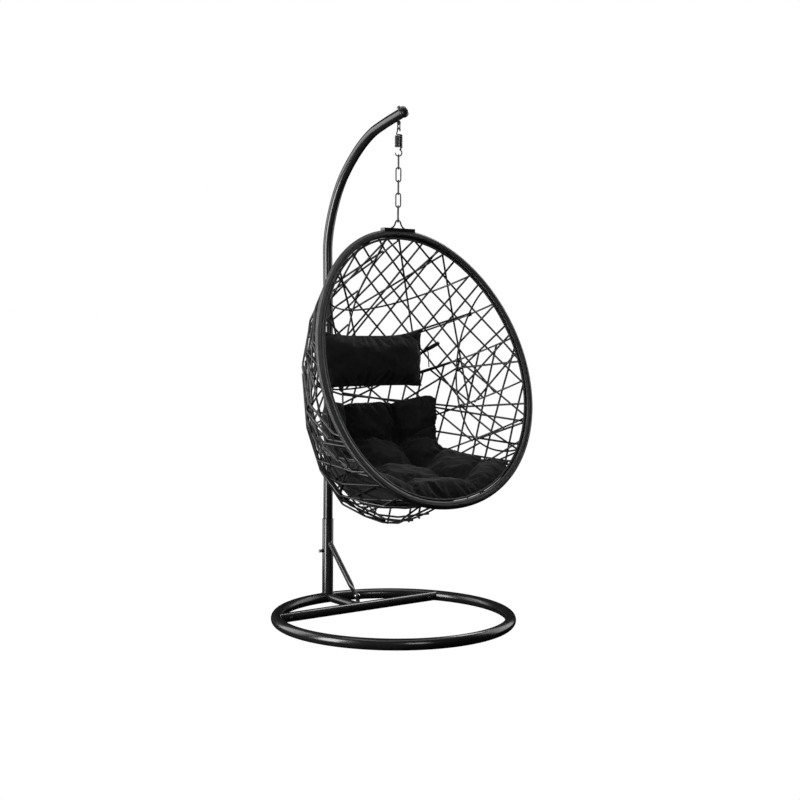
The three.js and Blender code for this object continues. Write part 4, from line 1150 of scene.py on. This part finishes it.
def seat_cushion_shape():
    """The seat cushion before it is filled out, and how firmly the points of its top are held."""
    u = (eased(141) + np.linspace(-1, 1, 141)) / 2
    v = (u + 1) / 2
    table = along_rows(CUSHION_ROWS, v)
    U, W = np.meshgrid(u, v)
    base = seat_base(U, W, table)
    normal = unit(np.cross(np.gradient(base, axis=0), np.gradient(base, axis=1)))
    crown = round_edge(U, 5) * round_edge(2 * W - 1, 7)
    folds = ripples(base, 3, ((150, 5.0), (70, 2.5)), random.Random(3))
    sunk = hollows(U, W)
    top = base + normal * ((CUSHION_LIFT - sunk + folds) * crown)[..., None]
    thick = table[:, 5][:, None] * round_edge(U, 3.2)
    bottom = base - normal * (np.maximum(thick - CUSHION_LIFT, 2) * crown)[..., None]
    top, bottom = clear_of_weave(top, CUSHION_INSET), clear_of_weave(bottom, CUSHION_INSET)
    return closed_form(top, bottom), np.clip((sunk / 46) ** 2, 0, 1)


def evaluated(piece):
    return piece.evaluated_get(bpy.context.evaluated_depsgraph_get())


def vertices(mesh):
    points = np.empty(len(mesh.vertices) * 3)
    mesh.vertices.foreach_get("co", points)
    return points.reshape(-1, 3)


def remeshed(shape, voxel):
    """An object with the surface of a shape in small even faces."""
    points, groups = shape
    mesh = bpy.data.meshes.new("cloth")
    mesh.from_pydata((points * MM).tolist(), [], groups[0][0].tolist())
    piece = in_scene("cloth", mesh)
    remesh = piece.modifiers.new("remesh", "REMESH")
    remesh.mode = "VOXEL"
    remesh.voxel_size = voxel * MM
    piece.data = bpy.data.meshes.new_from_object(evaluated(piece))
    piece.modifiers.clear()
    return piece


def pin(piece, points, held):
    """A vertex group that holds each vertex as firmly as the point nearest to it. held: from 0 to 1
    for the first of the points; those past them are held fast."""
    tree = finder(points * MM)
    hold = np.ones(len(points))
    hold[: held.size] = held.ravel()
    group = piece.vertex_groups.new(name="held")
    for i, vertex in enumerate(piece.data.vertices):
        group.add([i], hold[tree.find(vertex.co)[1]], "REPLACE")
    return group.name


def inflated(shape, held, cap, excess, voxel=5.0):
    """A shape filled out as sewn cloth: pressure from inside, and more cloth than the form needs.
    cap: how far it may move. excess: the share of cloth to spare."""
    piece = remeshed(shape, voxel)
    start = vertices(piece.data)
    group = pin(piece, shape[0], held)
    cloth = piece.modifiers.new("cloth", "CLOTH").settings
    cloth.quality = 5
    cloth.mass = 0.2
    cloth.tension_stiffness = cloth.compression_stiffness = 12
    cloth.shear_stiffness = 4
    cloth.bending_stiffness = 0.15
    cloth.shrink_min = -excess
    cloth.use_pressure = True
    cloth.uniform_pressure_force = 4
    cloth.effector_weights.gravity = 0
    cloth.vertex_group_mass = group
    for step in range(1, 21):
        bpy.context.scene.frame_set(step)
    move = (vertices(evaluated(piece).data) - start) / MM
    bpy.context.scene.frame_set(1)
    size = np.linalg.norm(move, axis=1, keepdims=True)
    move *= np.minimum(1, cap / np.maximum(size, 1e-6))
    faces = np.array([polygon.vertices[:] for polygon in piece.data.polygons])
    bpy.data.objects.remove(piece)
    return start / MM + move, [(faces, np.zeros((len(faces), 4, 2)))]


def add_seat_cushion():
    points, groups = inflated(*seat_cushion_shape(), cap=14, excess=0.07)
    shape = clear_of_weave(points, CUSHION_INSET), groups
    piece = make("cushion_seat", [shape], FABRIC, "basket", ["seat_cushion"], 180)


def pillow_shape():
    """The pillow before it is filled out, with no point of it held."""
    V, U = np.meshgrid(eased(61), eased(121), indexing="ij")
    x = U * (PILLOW_HALF_WIDTH + 7 * V + 14 * V**4)
    up, down = PILLOW_UP + 26 * np.abs(U) ** 3, PILLOW_DOWN + 8 * np.abs(U) ** 4
    z = V * np.where(V > 0, up, down)
    folds = ripples(np.stack([x, 0 * x, z], 2), 3, ((170, 3.0), (80, 1.5)), random.Random(11))
    deep = (PILLOW_HALF_DEPTH + folds) * round_edge(U, 3.4) * round_edge(V, 2.6)
    c, s = math.cos(math.radians(PILLOW_LEAN)), math.sin(math.radians(PILLOW_LEAN))
    front, rear = [PILLOW_CENTRE + np.stack([x, y * c + z * s, z * c - y * s], 2) for y in (-deep, deep)]
    return closed_form(front, rear), np.zeros_like(U)


def add_pillow():
    shape = inflated(*pillow_shape(), cap=9, excess=0.05, voxel=4.5)
    piece = make("pillow_head", [shape], FABRIC, "basket", ["headrest_pillow"], 180)


def add_ties():
    flat = circle(1, 12) * (5.4, 1.9)
    for side, name in ((-1, "left"), (1, "right")):
        edge, end = mirrored(TIE_EDGE, side), mirrored(TIE_END, side)
        along = unit(end - edge)
        knot = edge + 0.25 * (end - edge)
        shapes = []
        for lift in (-2.2, 2.2):
            bow = lift * Z_AXIS
            path = [edge - 12 * along, edge, knot, knot + 12 * along + bow, (knot + end) / 2 + 1.6 * bow,
                    end + bow]
            shapes.append(sweep(smooth_curve(path, 3), flat, fixed=Y_AXIS))
        shapes.append(sweep(helix(knot, along, 4.6, 2.2, 5.2), circle(2.9, 10)))
        shapes.append(sweep(helix(end, np.array([side * 0.3, 0.4, 1.0]), 4.2, 2.2, 4.4), circle(2.0, 10)))
        make(f"pillow_tie_straps_{name}", shapes, FABRIC, "basket", [f"pillow_tie_{name}"])


# ---- surroundings, in metres --------------------------------------------------------------------
FLOOR = 40  # half its side


def area_light(name, at, towards, size, power):
    light = in_scene(name, bpy.data.lights.new(name, "AREA"))
    light.data.shape = "RECTANGLE"
    light.data.size, light.data.size_y = size
    light.data.energy = power
    light.location = at
    light.rotation_euler = (Vector(towards) - Vector(at)).to_track_quat("-Z", "Y").to_euler()


def add_studio():
    """A white room for the camera; only the soft lights reach the chair."""
    world = bpy.data.worlds.new("studio")
    bpy.context.scene.world = world
    world.use_nodes = True
    world.node_tree.nodes["Background"].inputs["Color"].default_value = (1, 1, 1, 1)
    world.cycles_visibility.diffuse = False
    world.cycles_visibility.glossy = False
    mesh = bpy.data.meshes.new("floor")
    corners = [(-FLOOR, -FLOOR, 0), (FLOOR, -FLOOR, 0), (FLOOR, FLOOR, 0), (-FLOOR, FLOOR, 0)]
    mesh.from_pydata(corners, [], [(0, 1, 2, 3)])
    floor = in_scene("floor", mesh)
    floor.visible_diffuse = False
    floor.visible_glossy = False
    look = Look("floor_white", (0, 0, 0), 1.0, Emission_Color=(1, 1, 1, 1), Emission_Strength=1.0,
                Specular_IOR_Level=0.0)
    mesh.materials.append(look.material)
    area_light("left", (-3.2, 0.2, 1.0), (0, 0, 0.8), (1.2, 2.6), 155)
    area_light("rear left", (-2.0, 2.6, 1.5), (0, 0, 1.0), (2.0, 3.0), 75)
    area_light("rear right", (3.3, -0.4, 1.4), (0, 0, 0.8), (2.4, 2.8), 45)
    area_light("front", (-1.2, -4.4, 2.4), (0, 0, 0.8), (1.4, 1.4), 50)
    area_light("upper right", (2.1, 0.8, 2.8), (0, 0.1, 0.2), (1.2, 1.2), 38)
    area_light("top", (0, 0.2, 3.7), (0, 0, 0.6), (3.4, 2.0), 54)
    bpy.context.scene.view_settings.view_transform = "Standard"


# ---- everything ---------------------------------------------------------------------------------
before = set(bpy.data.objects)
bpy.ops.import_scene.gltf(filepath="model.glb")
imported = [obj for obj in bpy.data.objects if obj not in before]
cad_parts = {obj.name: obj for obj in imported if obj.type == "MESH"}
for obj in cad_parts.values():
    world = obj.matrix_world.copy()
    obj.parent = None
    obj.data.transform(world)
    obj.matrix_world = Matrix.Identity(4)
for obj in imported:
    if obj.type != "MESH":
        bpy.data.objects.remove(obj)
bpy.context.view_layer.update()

COAT = powder_coat()
ZINC = dark_zinc()
BRIGHT = bright_zinc()
WICKER = wicker()
FABRIC = fabric()
PLASTIC = cap_plastic()

add_camera()
add_tie_tails()
add_ring()
add_cross_bar()
add_spur()
add_pole_socket()
add_brace()
add_lock_screw()
add_arm()
add_eye_bolt()
add_spring()
add_chain()
add_snap_hook()
add_hanger()
add_rim()
add_cage()
add_weave()
add_seat_cushion()
add_pillow()
add_ties()
add_studio()
